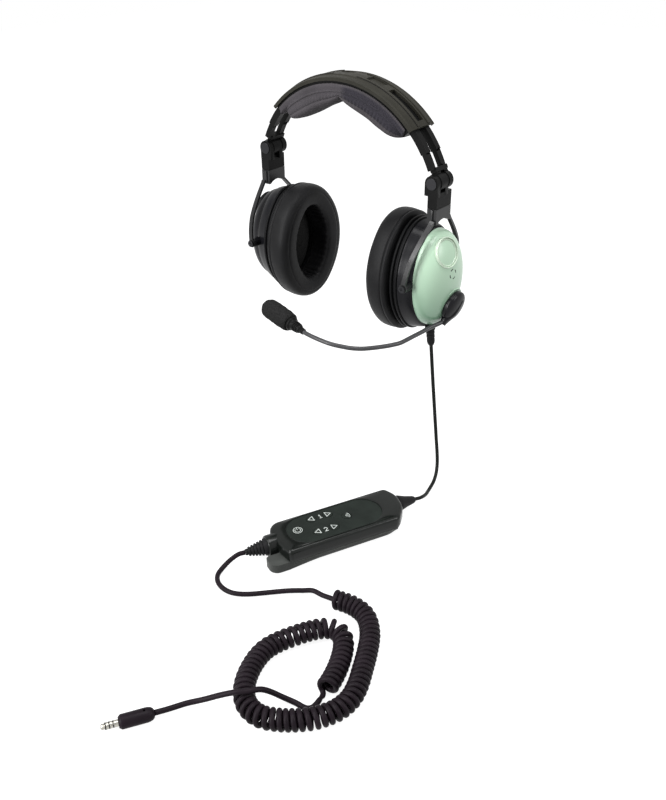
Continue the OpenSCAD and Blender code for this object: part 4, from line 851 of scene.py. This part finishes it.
def buildFoam(side):
    # a slab in the cushion's well, its face pillowed and a little uneven
    word, columns, rows = sideWord(side), 160, 22
    spot, normal = ovalOutline(columns)[:2]
    share = np.linspace(1, 0, rows)[:, None]
    rim = spot - (cup["sealWidth"] + 0.2) * normal
    across, up = rim[None, :, 0] * share, rim[None, :, 1] * share
    wave = 0.18 * np.sin(across * 0.9) * np.cos(up * 0.7) + 0.12 * np.sin(across * 0.31 + up * 0.43)
    front = cup["plateIn"] + 2.2 - 1.6 * (1 - share ** 4) + wave * (1 - share ** 6)
    back = np.full((1, columns), cup["foamBack"])
    piece = meshPiece(word + "_foam_pad", cupPoints(
        np.vstack([across[:1], across]), np.vstack([up[:1], up]), np.vstack([back, front]), side),
        gridFaces(rows + 1, columns, False, True))
    dress(closeUp(piece, 1e-6), "foam", word + "_cup", (word + "_foam",))


for side in (1, -1):
    for build in (buildSeal, buildShell, buildPlate, buildBosses, buildDome, buildMedallion):
        build(side)
    for k in range(vent["count"]):
        buildVent(side, k)
    if side > 0:
        buildKnobSeat()
    buildFoam(side)
print("ear cups ready")


band = {"z": 60.872, "armOuter": 106.5, "frameIn": 96.7, "half": 17.0, "padDepth": 15.7,
        "padEnd": 45.6, "padSteps": 150, "trimFrom": 7.0, "trimTo": 45.9}
# degrees from the band's top, then share of the pad's full depth
padLobe = np.array([
    [0, 0.47], [3, 0.62], [7, 0.78], [12, 0.89], [18, 0.97], [23, 1.01], [28, 1.02], [33, 0.98],
    [37, 0.91], [40, 0.8], [42.5, 0.64], [44.5, 0.4], [45.6, 0.12]])
# share of the half width, then share of the depth: crown, drawn-in sides and a piped seam
padSection = np.array([
    [0.97, 0.0], [0.985, 0.03], [0.98, 0.08], [0.955, 0.12], [0.96, 0.2], [0.98, 0.32],
    [0.985, 0.42], [0.975, 0.5], [0.955, 0.55], [0.965, 0.6], [0.985, 0.68], [0.97, 0.77],
    [0.91, 0.86], [0.78, 0.93], [0.6, 0.97], [0.38, 0.985], [0.18, 0.995], [0.0, 1.0]])
# shares of the depth at which the cover's two seams run
padSeams = (0.11, 0.55)
# the cover's edge that wraps the frame's side: distance from the middle and depth, in mm
padTrim = [[15.1, 0.2], [15.1, -5.3], [15.6, -5.8], [16.4, -5.8], [16.9, -5.3], [17.2, -3.6],
           [17.3, -1.8], [17.0, -0.5]]


def padMarks(t, down, trim):
    # how much painted shade each of the pad's points shows, 0 to 1: a darker cloth colour on the
    # upper side panels, and near-black for the real seams and for painted shade in the crease at
    # the top
    low, high = padSeams
    edge = len(trim)
    # painted shade: the upper side panels take the darker colour, fully on the +x lobe and only
    # faintly on the other
    panel_shade = 1 - smoothStep(down, high - 0.02, high + 0.02)
    panel_shade = panel_shade * (0.15 + 0.85 * smoothStep(t, 0, 5))
    onTrim = smoothStep(trim[:, 1], -5.0, -4.2) * (trim[:, 0] > 16)
    panel_shade[:, :edge] *= onTrim
    panel_shade[:, -edge:] *= onTrim[::-1]
    seam = (0.25 * np.exp(-((down - low) / 0.016) ** 2)
            + 0.35 * np.exp(-((down - high) / 0.014) ** 2))
    # painted shade: near-black in the pinched crease at the band's top, joined to the seams' mask
    crease = np.exp(-(np.abs(t) / 0.35) ** 2) * smoothStep(down, 0.5, 0.8) * 0.8
    return {"panel_shade": panel_shade, "seam": np.maximum(ramp(seam), crease)}


def buildPad():
    # a section carried along the band's arc, t degrees from its top; each lobe is deepest a bit
    # past half way down its side, and both run into a pinched crease at the top
    oneSide = np.linspace(0, band["padEnd"], band["padSteps"])
    t = np.concatenate([-oneSide[:0:-1], oneSide])
    lobe = spline(padLobe, 8)
    depth = band["padDepth"] * np.interp(np.abs(t), lobe[:, 0], lobe[:, 1])
    half = (band["half"] + 0.8) * np.where(
        np.abs(t) < 36, 1, np.sqrt(np.maximum(0.12, 1 - ((np.abs(t) - 36) / 10.2) ** 2)))
    side = spline(padSection, 3)
    trim = np.array(padTrim)
    under = np.zeros_like(trim)
    section = np.vstack([under, side, side[-2::-1] * [-1, 1], under])
    edge = len(trim)
    share, down = section[:, 0][None, :], section[:, 1][None, :]
    y = half[:, None] * share
    d = depth[:, None] * down
    a = np.abs(t)[:, None]
    crease = np.exp(-a / 1.6) * smoothStep(down, 0.25, 0.9)
    puckers = np.exp(-a / 7) * smoothStep(down, 0.35, 0.8) * np.sin(
        y * 1.15 + 0.7 * np.sin(a * 0.5)) * (1 - np.exp(-a / 1.5))
    waves = (ripple(t[:, None] / 91 + 0.5 + y / 400, 31, 5, 2, 8) * 0.35
             + ripple(t[:, None] / 91 + 0.5 - y / 160, 37, 5, 5, 16) * 0.14)
    swell = waves * smoothStep(down, 0.3, 0.9) * smoothStep(band["padEnd"] - a, 1, 8)
    d = np.maximum(d - 1.3 * crease + 0.42 * puckers + swell, 0.0)
    rise = smoothStep(45.4 - a, 0, 1.4)
    y[:, :edge], y[:, -edge:] = trim[:, 0], -trim[::-1, 0]
    d[:, :edge], d[:, -edge:] = rise * trim[:, 1], rise * trim[::-1, 1]
    tuck = 0.28 * np.sin(a * 2.6) * np.exp(-((down - 0.45) / 0.2) ** 2) * smoothStep(45 - a, 2, 8)
    y = y - np.sign(share) * tuck
    r = band["frameIn"] - d
    angle = np.radians(t)[:, None]
    grid = np.stack([r * np.sin(angle), y, band["z"] + r * np.cos(angle)], axis=-1)
    around = travelled(section * [17, 15])
    uv = np.stack(np.broadcast_arrays(angle * 90 * mm, around[None, :] * mm), axis=-1)
    pad = meshPiece("head_cushion", grid.reshape(-1, 3) * mm,
                    gridFaces(len(t), len(section), False, True), uv.reshape(-1, 2))
    for key, values in padMarks(t[:, None], down, trim).items():
        layer = pad.data.attributes.new(key, "FLOAT", "POINT")
        layer.data.foreach_set("value", values.ravel().astype(np.float32))
    closeUp(pad)
    dress(pad, "pad_fabric", "headband", ("head_pad",))


def arcPoints(radius, y, degrees):
    # radius and angle about the band's centre, angle from its top towards +x, in mm to metres
    radius, y, angle = np.broadcast_arrays(radius, y, np.radians(degrees))
    return np.stack([radius * np.sin(angle), y, band["z"] + radius * np.cos(angle)],
                    axis=-1).reshape(-1, 3) * mm


def bandStrip(name, section, start, stop, steps=72):
    # a section of (distance from the middle, height over the arms' face) carried along the arc
    t = np.linspace(start, stop, steps)[:, None]
    section = np.array(section, float)[None, :, :]
    points = arcPoints(band["armOuter"] + section[..., 1], section[..., 0], t)
    return closeUp(meshPiece(name, points, gridFaces(steps, section.shape[1], False, True)))


def buildBandTrim():
    # a dark shadow gap and a low rail beside it, along each side of both slots
    for k, (front, side) in enumerate(((-1, -1), (-1, 1), (1, -1), (1, 1))):
        start, stop = sorted((side * band["trimFrom"], side * band["trimTo"]))
        gap = [[front * y, z] for y, z in ((9.3, 2.3), (9.3, 3.03), (8.6, 3.2), (8.6, 2.3))]
        dress(sharpen(bandStrip(f"band_gap_{k}", gap, start, stop), 40), "plate_black", "headband")
        rail = [[front * y, z] for y, z in (
            (8.5, 2.3), (8.5, 3.5), (8.2, 3.75), (6.6, 3.75), (6.3, 3.5), (6.3, 2.3))]
        dress(sharpen(bandStrip(f"band_rail_{k}", rail, start, stop), 40), "band_black", "headband")


buildPad()
buildBandTrim()
print("headband ready")


boomRoute = np.array([
    [-0.5, -10.1, -13.5], [-2.2, -16, -14.5], [-5.6, -25.7, -16], [-7.4, -35, -17.2],
    [-9.1, -44.2, -18], [-10.5, -53, -18.7], [-11.8, -61.7, -19], [-15.2, -69.6, -19],
    [-19.4, -76.7, -19], [-24.5, -85, -18.6], [-30.1, -93, -18], [-37, -99.2, -17.2],
    [-44.5, -103, -16.5], [-51, -105.8, -15.8], [-57.9, -107.7, -15], [-67, -108.8, -14],
    [-75.6, -109, -13.2], [-82.64, -108.44, -12.63], [-88.5, -107.3, -12]]) + knob["place"]
boomDiameter = 4.0
microphone = {"diameter": 18.5, "length": 38.0, "from": 15.0, "tilt": (-84, -11)}
micFrame = tiltedFrame(boomRoute[-1], *microphone["tilt"])
grip = {"turn": math.radians(-37.5), "from": -8.5, "length": 28.0, "rows": 60, "columns": 40}


def buildBoom():
    arm = tube("boom_tube", spline(boomRoute, 8) * mm, boomDiameter / 2 * mm, 24, (0.1, 0.1, 1))
    dress(arm, "boom_grey", "boom", ("boom_arm",))
    collar = lathe("boom_collar", roundedProfile([
        [0, -4.5], [2.5, -4.5], [2.9, -3.6], [2.9, 0.4], [0, 0.4]], 0.5), micFrame, 48)
    dress(sharpen(collar, 45), "satin_black", "boom")


def buildKnob():
    # a turned cap: a short upright rim under a flattened dome
    radius, rim = knob["radius"], 3.6
    rise = knob["height"] - rim
    line = np.vstack([
        [[0, 0.35], [13.6, 0.35]],
        roundedProfile([[13.6, 0.35], [radius, 1.1], [14.45, rim]], 0.5),
        [[radius * math.cos(a), rim + rise * math.sin(a) ** 0.9]
         for a in np.linspace(0.06, 1.5, 22)],
        [[0, knob["height"]]]])
    cap = lathe("knob_cap", line, knobFrame, 128)
    dress(sharpen(cap, 50), "shell_black", "boom", ("boom_knob",))


def buildGrip():
    # a bar over the cap: its half width and height fall from the middle to the lug's end
    turn, rows, columns = grip["turn"], grip["rows"], grip["columns"]
    x = grip["from"] + grip["length"] * np.linspace(0, 1, rows)[:, None]
    width = 3.0 + 1.3 * smoothStep(x, 6, 13) - 1.3 * smoothStep(x, 15, 19.5)
    width = width * np.sqrt(np.clip(1 - ramp((-5.5 - x) / 3.2) ** 2, 0.03, 1))
    crest = 9.9 - 0.9 * smoothStep(-x, -2, 8) - 3.6 * smoothStep(x, 4, 19.5)
    sole = np.where(x < 14, 2.5 - 2.0 * smoothStep(x, 8, 14), 0.5)
    phi = (2 * np.pi * np.arange(columns) / columns)[None, :]
    c, s = np.cos(phi), np.sin(phi)
    y = width * np.sign(c) * np.abs(c) ** 0.7
    z = (crest + sole) / 2 + (crest - sole) / 2 * np.sign(s) * np.abs(s) ** 0.75
    local = np.stack([x * math.cos(turn) - y * math.sin(turn),
                      x * math.sin(turn) + y * math.cos(turn), z], axis=-1)
    bar = meshPiece("knob_grip", carry(local.reshape(-1, 3), knobFrame),
                    gridFaces(rows, columns, False, True))
    dress(sharpen(closeUp(bar), 50), "shell_black", "boom")


def buildHolder():
    # a flared socket with three rings round its neck
    shell = roundedProfile([
        [0, 0.02], [3.1, 0.02], [3.7, 1.2], [4.7, 10], [5.1, 11.2], [6.1, 12.2], [6.5, 13.0],
        [6.5, 14.7], [5.0, 15.1], [5.0, 17.0], [0, 17.0]], 0.7)
    holder = lathe("microphone_holder", shell, micFrame, 72)
    dress(sharpen(holder, 45), "satin_black", "boom", ("mic_bracket",))
    for k, z in enumerate((3.2, 5.2, 7.2)):
        edge = 4.25 + 0.1 * z
        line = roundedProfile([[3.4, z], [edge, z], [edge, z + 0.9], [3.4, z + 0.9]], 0.3)
        ring = lathe(f"holder_ring_{k + 1}", line, micFrame, 56)
        dress(sharpen(ring, 50), "satin_black", "boom")


def buildWindscreen():
    # a turned foam sleeve, its skin dented by a sum of sines along and round it
    start, end = microphone["from"], microphone["from"] + microphone["length"]
    r = microphone["diameter"] / 2
    skin = spline([
        [5.1, start + 2.4], [5.2, start + 0.6], [6.2, start + 0.05], [7.6, start + 0.5],
        [8.6, start + 2.4], [9.0, start + 6], [r, start + 12], [r, end - 12], [9.1, end - 7],
        [8.2, end - 3.6], [6.4, end - 1.3], [3.6, end - 0.25], [1.5, end], [0.02, end]], 5)
    steps = 120
    turn = (2 * np.pi * np.arange(steps) / steps)[None, :]
    z = skin[:, 1:]
    dents = (0.16 * np.sin(3 * turn + z * 0.31) * np.sin(z * 0.5 + 1)
             + 0.1 * np.sin(7 * turn - z * 0.7))
    radius = skin[:, :1] + dents * ramp(skin[:, :1] / 6) ** 2
    grid = np.stack(np.broadcast_arrays(radius * np.cos(turn), radius * np.sin(turn), z), axis=-1)
    foam = meshPiece("foam_windscreen", carry(grid.reshape(-1, 3), micFrame),
                     gridFaces(len(skin), steps, False, True))
    dress(closeUp(foam, 1e-6), "foam", "boom", ("windscreen",))


buildBoom()
buildKnob()
buildGrip()
buildHolder()
buildWindscreen()
print("boom ready")


case = {
    "height": 22.0, "edge": 3.6, "crown": 0.45, "panelX": 43.5, "panelHalf": 27.0,
    "panelRadius": 19.5, "panelY": -23.5, "panelFloor": 20.8,
    "skirtFrom": -9.5, "skirtTo": 101.0, "skirtSteps": 60, "neck": (-22.5, -18.0, 12.0),
    # x, y and radius of each corner of the outline, in mm
    "corners": [[-15, 0, 12], [108, 0, 6], [114, -14, 20], [111, -32, 24], [99, -46.5, 9],
                [-11, -46.5, 5], [-14.6, -28, 10]],
}


def caseOutline(steps=14, perSide=10):
    # straight sides between corners, each corner one arc that touches both of its sides
    corners = np.array(case["corners"], float)
    spots, normals, count = [], [], len(corners)
    for i in range(count):
        before, here, after = corners[i - 1, :2], corners[i, :2], corners[(i + 1) % count, :2]
        a = (before - here) / np.linalg.norm(before - here)
        b = (after - here) / np.linalg.norm(after - here)
        half = math.acos(float(np.clip(a @ b, -1, 1))) / 2
        r = corners[i, 2]
        mid = (a + b) / np.linalg.norm(a + b)
        centre = here + mid * r / math.sin(half)
        start = here + a * r / math.tan(half) - centre
        stop = here + b * r / math.tan(half) - centre
        a0 = math.atan2(start[1], start[0])
        turn = (math.atan2(stop[1], stop[0]) - a0 + math.pi) % (2 * math.pi) - math.pi
        t = a0 + turn * np.linspace(0, 1, steps)
        arc = np.stack([np.cos(t), np.sin(t)], axis=1)
        if spots:
            last, lastN = spots[-1][-1], normals[-1][-1]
            share = np.linspace(0, 1, perSide + 1)[1:-1, None]
            spots.append(last + share * (centre + r * arc[0] - last))
            normals.append(np.repeat(lastN[None, :], perSide - 1, axis=0))
        spots.append(centre + r * arc)
        normals.append(arc)
    last, first = spots[-1][-1], spots[0][0]
    share = np.linspace(0, 1, perSide + 1)[1:-1, None]
    spots.append(last + share * (first - last))
    normals.append(np.repeat(normals[-1][-1:], perSide - 1, axis=0))
    return np.vstack(spots), np.vstack(normals)


def modulePiece(name, grid, faces):
    return meshPiece(name, modulePoint(grid.reshape(-1, 3)) * mm, faces)


def stadiumFrom(spot, radius):
    # the place on the keypad's outline that faces a place outside it
    foot = np.stack([np.clip(spot[:, 0], case["panelX"] - case["panelHalf"],
                             case["panelX"] + case["panelHalf"]),
                     np.full(len(spot), case["panelY"])], axis=1)
    return foot + unitRows(spot - foot) * radius


def buildCase():
    # the upper case: up its side, round its edge, over the crowned top and down the panel's well
    spot, normal = caseOutline()
    wellRadius = case["panelRadius"] + 0.25
    rim = stadiumFrom(spot, wellRadius)
    edge = case["edge"]
    turns = np.radians(np.linspace(0, 90, 9))
    profile = [(0.5, 10.0), (0.5, 10.8), (0.08, 10.85), (0.0, 11.1), (0.0, 14.0)]
    profile += [(edge * (1 - math.cos(a)), case["height"] - edge + edge * math.sin(a))
                for a in turns]
    rows = [np.column_stack([spot - inset * normal, np.full(len(spot), z)]) for inset, z in profile]
    inner = rows[-1][:, :2]
    for share in np.linspace(0, 1, 8)[1:]:
        z = case["height"] + case["crown"] * math.sin(share * math.pi * 0.62)
        rows.append(np.column_stack([inner + share * (rim - inner), np.full(len(spot), z)]))
    level = rows[-1][0, 2]
    well = [(0.22, level - 0.06), (0.3, level - 0.3), (0.3, case["panelFloor"])]
    rows += [np.column_stack([stadiumFrom(spot, wellRadius - step), np.full(len(spot), z)])
             for step, z in well]
    upper = modulePiece("module_top", np.array(rows),
                        gridFaces(len(rows), len(spot), False, True))
    dress(sharpen(closeUp(upper), 50), "module_black", "left_cup", ("module_upper_case",))


def buildSkirt():
    # the lower case's near side: a rounded strip that stands out from the narrowed foot
    x = np.linspace(case["skirtFrom"], case["skirtTo"], case["skirtSteps"])[:, None]
    skirt = np.array([[5.0, 8.6], [0.7, 8.6], [0.15, 8.3], [0.0, 7.7], [0.35, 5.0], [0.7, 2.4],
                      [1.0, 1.7], [1.6, 1.3], [6.0, 1.3]])
    lean = skirt[None, :, 0] * (0.15 + 2.2 * smoothStep(x, -12, 22))
    y = -44.6 + lean + 3.2 * smoothStep(x, 84, case["skirtTo"]) ** 2
    strip = np.stack(np.broadcast_arrays(x, np.minimum(y, -37.5), skirt[None, :, 1]), axis=-1)
    lower = modulePiece("module_skirt", strip, gridFaces(len(x), len(skirt), False, True))
    dress(sharpen(closeUp(lower), 40), "module_grey", "left_cup")


def buildNeck():
    # the round end that the ribbed relief comes out of
    line = roundedProfile([
        [0, 0], [8.9, 0], [9.9, 1.0], [10.0, 3.0], [10.0, 15.5], [0, 15.5]], 0.9)
    neck = lathe("module_neck", line, moduleFrame(case["neck"], (1, 0, 0)))
    dress(sharpen(neck, 50), "module_black", "left_cup")


def moduleFrame(place, axis):
    # a frame in the module whose z runs along the level axis, both given in the module's frame
    zero = modulePoint(np.zeros(3))
    z = modulePoint(np.asarray(axis, float)) - zero
    z = z / np.linalg.norm(z)
    x = np.cross((0, 0, 1), z)
    x = x / np.linalg.norm(x)
    return frameAt(modulePoint(np.asarray(place, float)), x, np.cross(z, x), z)


def strokes(name, lines, width, level, body, height=0.14):
    # flat raised strokes along lines drawn in the keypad's plane, mitred at their corners
    points, faces, count = [], [], 0
    for line in lines:
        p = np.asarray(line, float)
        closed = len(p) > 2 and np.allclose(p[0], p[-1])
        q = p[:-1] if closed else p
        before = np.roll(q, 1, axis=0) if closed else np.vstack([2 * q[:1] - q[1:2], q[:-1]])
        after = np.roll(q, -1, axis=0) if closed else np.vstack([q[1:], 2 * q[-1:] - q[-2:-1]])
        a, b = unitRows(q - before), unitRows(after - q)
        side = unitRows(np.stack([-(a + b)[:, 1], (a + b)[:, 0]], axis=1))
        reach = width / 2 / np.maximum(0.35, (side * np.stack([-a[:, 1], a[:, 0]], axis=1)).sum(1))
        left, right = q + side * reach[:, None], q - side * reach[:, None]
        ring = [np.column_stack([e, np.full(len(q), z)]) for e, z in (
            (left, level), (left, level + height), (right, level + height), (right, level))]
        grid = np.array(ring).transpose(1, 0, 2)
        points.append(grid.reshape(-1, 3))
        faces.append(gridFaces(len(q), 4, closed, True) + count)
        count += len(q) * 4
    piece = closeUp(modulePiece(name, np.vstack(points), np.vstack(faces)), 1e-8)
    piece.data.shade_flat()
    dress(piece, "keypad_grey", body, finish=marksFinish)


def arcLine(x, y, radius, start, stop, steps=28):
    t = np.radians(np.linspace(start, stop, steps))
    return np.stack([x + radius * np.cos(t), y + radius * np.sin(t)], axis=1)


def triangle(x, y, towards):
    half = 3.0
    foot, tip = x - half * towards * 0.62, x + half * towards
    return [[foot, y - half], [tip, y], [foot, y + half], [foot, y - half]]


keys = {"power": (7.5, -21.6), "upper": ((25.2, -12.3), (41.6, -12.3)),
        "lower": ((23.0, -31.5), (39.0, -31.5)), "wireless": (56.5, -22.4), "top": 22.1,
        "panelTop": 21.9}


def buildMarks():
    x, y = keys["power"]
    strokes("mark_power", [arcLine(x, y, 2.6, 125, 415, 30), [[x, y + 0.4], [x, y + 3.6]],
                           arcLine(x, y, 4.1, 0, 360, 40)], 0.55, keys["top"], "power_button")
    for k, (x, y) in enumerate(keys["upper"] + keys["lower"]):
        strokes(f"mark_volume_{k + 1}", [triangle(x, y, (-1, 1)[k % 2])], 0.6, keys["top"],
                f"volume_button_{k + 1}")
    x, y = keys["wireless"]
    strokes("mark_link", [arcLine(x - 2.2, y, r, -42, 42, 12) for r in (1.6, 3.2, 4.8)],
            0.55, keys["top"], "wireless_button")
    one = [[[33.0, -11.2], [34.2, -10.0], [34.2, -14.6]], [[33.0, -14.6], [35.4, -14.6]]]
    two = [np.vstack([arcLine(31.0, -30.6, 1.4, 160, -40, 14), [[29.6, -34.0], [32.5, -34.0]]])]
    strokes("mark_one", one, 0.7, keys["panelTop"], "left_cup")
    strokes("mark_two", two, 0.7, keys["panelTop"], "left_cup")


buildCase()
buildSkirt()
buildNeck()
buildMarks()
print("module ready")


bodyOf = {node: body for body, members in frame["record"]["behaviour"]["bodies"].items()
          for node in members}
slotOf = {row["node"]: row["material_slot"] for row in frame["record"]["subparts"]}
edgeAngle = 32
# width of the soft edges on each turned or moulded piece that keeps the frame's shape, in mm
softened = {
    "left_yoke": 0.35, "right_yoke": 0.35, "left_hinge_block": 0.5, "right_hinge_block": 0.5,
    "left_hinge_pin": 0.2, "right_hinge_pin": 0.2, "left_arm": 0.35, "right_arm": 0.35,
    "band_shell": 0.3, "band_frame": 0.3, "cup_gland": 0.2, "module_lower_case": 0.5,
    "battery_door": 0.2, "module_gland": 0.3, "ribbed_relief": 0.2, "plug_barrel": 0.3,
    "plug_shaft": 0.1, "plug_insulators": 0.05, "keypad_panel": 0.25, "power_button": 0.2,
    "volume_button_1": 0.2, "volume_button_2": 0.2, "volume_button_3": 0.2, "volume_button_4": 0.2,
    "wireless_button": 0.2, "left_pivot_screws": 0.2, "right_pivot_screws": 0.2,
}


def refined(node, width):
    # a merged copy of the node, with its flat faces joined and its edges softened, stands for it
    work = bmesh.new()
    work.from_mesh(frame["nodes"][node].data)
    bmesh.ops.remove_doubles(work, verts=work.verts, dist=2e-6)
    bmesh.ops.dissolve_limit(work, angle_limit=math.radians(0.6), verts=work.verts,
                             edges=work.edges)
    mesh = bpy.data.meshes.new(node + "_body")
    work.to_mesh(mesh)
    work.free()
    piece = bpy.data.objects.new(node + "_body", mesh)
    bpy.context.scene.collection.objects.link(piece)
    softEdges(sharpen(piece, edgeAngle), width * mm, edgeAngle)
    dress(piece, slotOf[node], bodyOf[node], (node,))


for node, width in softened.items():
    refined(node, width)
for node, piece in frame["nodes"].items():
    if not piece.hide_render:
        piece.data.materials.clear()
        piece.data.materials.append(finishes[slotOf[node]].material)
print("carried pieces ready")


stage = {
    "floorSize": 6.0, "floorDrop": 0.0002, "glow": 0.88, "floorShade": 0.3, "world": 0.36,
    "lamps": [
        ("key", (-0.55, -1.35, 1.15), (0.7, 0.7), 20.0),
        ("top", (0.25, -0.1, 1.75), (1.0, 1.0), 24.0),
        ("side", (1.55, 0.35, 0.75), (0.6, 0.9), 12.0),
        ("strip", (-0.3, -1.6, 0.3), (0.45, 0.7), 17.0),
    ],
    "aim": (0.05, -0.12, 0.0),
}


def buildFloor(values):
    # a white floor for the eye and for reflections, and a grey one for the light it sends back
    half = values["floorSize"] / 2
    corners = np.array([[-half, -half, 0], [half, -half, 0], [half, half, 0], [-half, half, 0]])
    corners[:, 2] = cords["floor"] * mm - values["floorDrop"]
    floor = meshPiece("floor", corners, np.array([[0, 1, 2, 3]]))
    paint = Finish("floor_paint", (values["floorShade"],) * 3, 1.0, Specular_IOR_Level=0.0)
    seen = paint.add("ShaderNodeLightPath", {}, {}, "Is Camera Ray")
    for ray in ("Is Glossy Ray", "Is Transmission Ray"):
        seen = seen.math("MAXIMUM", seen, paint.add("ShaderNodeLightPath", {}, {}, ray))
    paint.give("Emission Color", (1, 1, 1, 1))
    paint.give("Emission Strength", seen * values["glow"])
    floor.data.materials.append(paint.material)


def buildWorld(values):
    # white where it is seen or mirrored, dimmer as a source of light
    world = bpy.data.worlds.new("studio")
    world.use_nodes = True
    bpy.context.scene.world = world
    tree = world.node_tree
    background = tree.nodes["Background"]
    path = tree.nodes.new("ShaderNodeLightPath")
    seen = path.outputs["Is Camera Ray"]
    for ray in ("Is Glossy Ray", "Is Transmission Ray"):
        both = tree.nodes.new("ShaderNodeMath")
        both.operation = "ADD"
        tree.links.new(seen, both.inputs[0])
        tree.links.new(path.outputs[ray], both.inputs[1])
        seen = both.outputs[0]
    pick = tree.nodes.new("ShaderNodeMapRange")
    tree.links.new(seen, pick.inputs["Value"])
    pick.inputs["To Min"].default_value = values["world"]
    pick.inputs["To Max"].default_value = 1.0
    tree.links.new(pick.outputs["Result"], background.inputs["Strength"])
    background.inputs["Color"].default_value = (1, 1, 1, 1)


def buildLamps(values):
    for name, place, size, power in values["lamps"]:
        light = bpy.data.lights.new(name, "AREA")
        light.shape = "RECTANGLE"
        light.size, light.size_y = size
        light.energy = power
        lamp = bpy.data.objects.new(name, light)
        lamp.location = place
        lamp.rotation_mode = "QUATERNION"
        lamp.rotation_quaternion = (Vector(values["aim"]) - Vector(place)).to_track_quat("-Z", "Y")
        bpy.context.scene.collection.objects.link(lamp)


buildFloor(stage)
buildWorld(stage)
buildLamps(stage)
bpy.context.scene.view_settings.view_transform = "Standard"
print("stage ready")
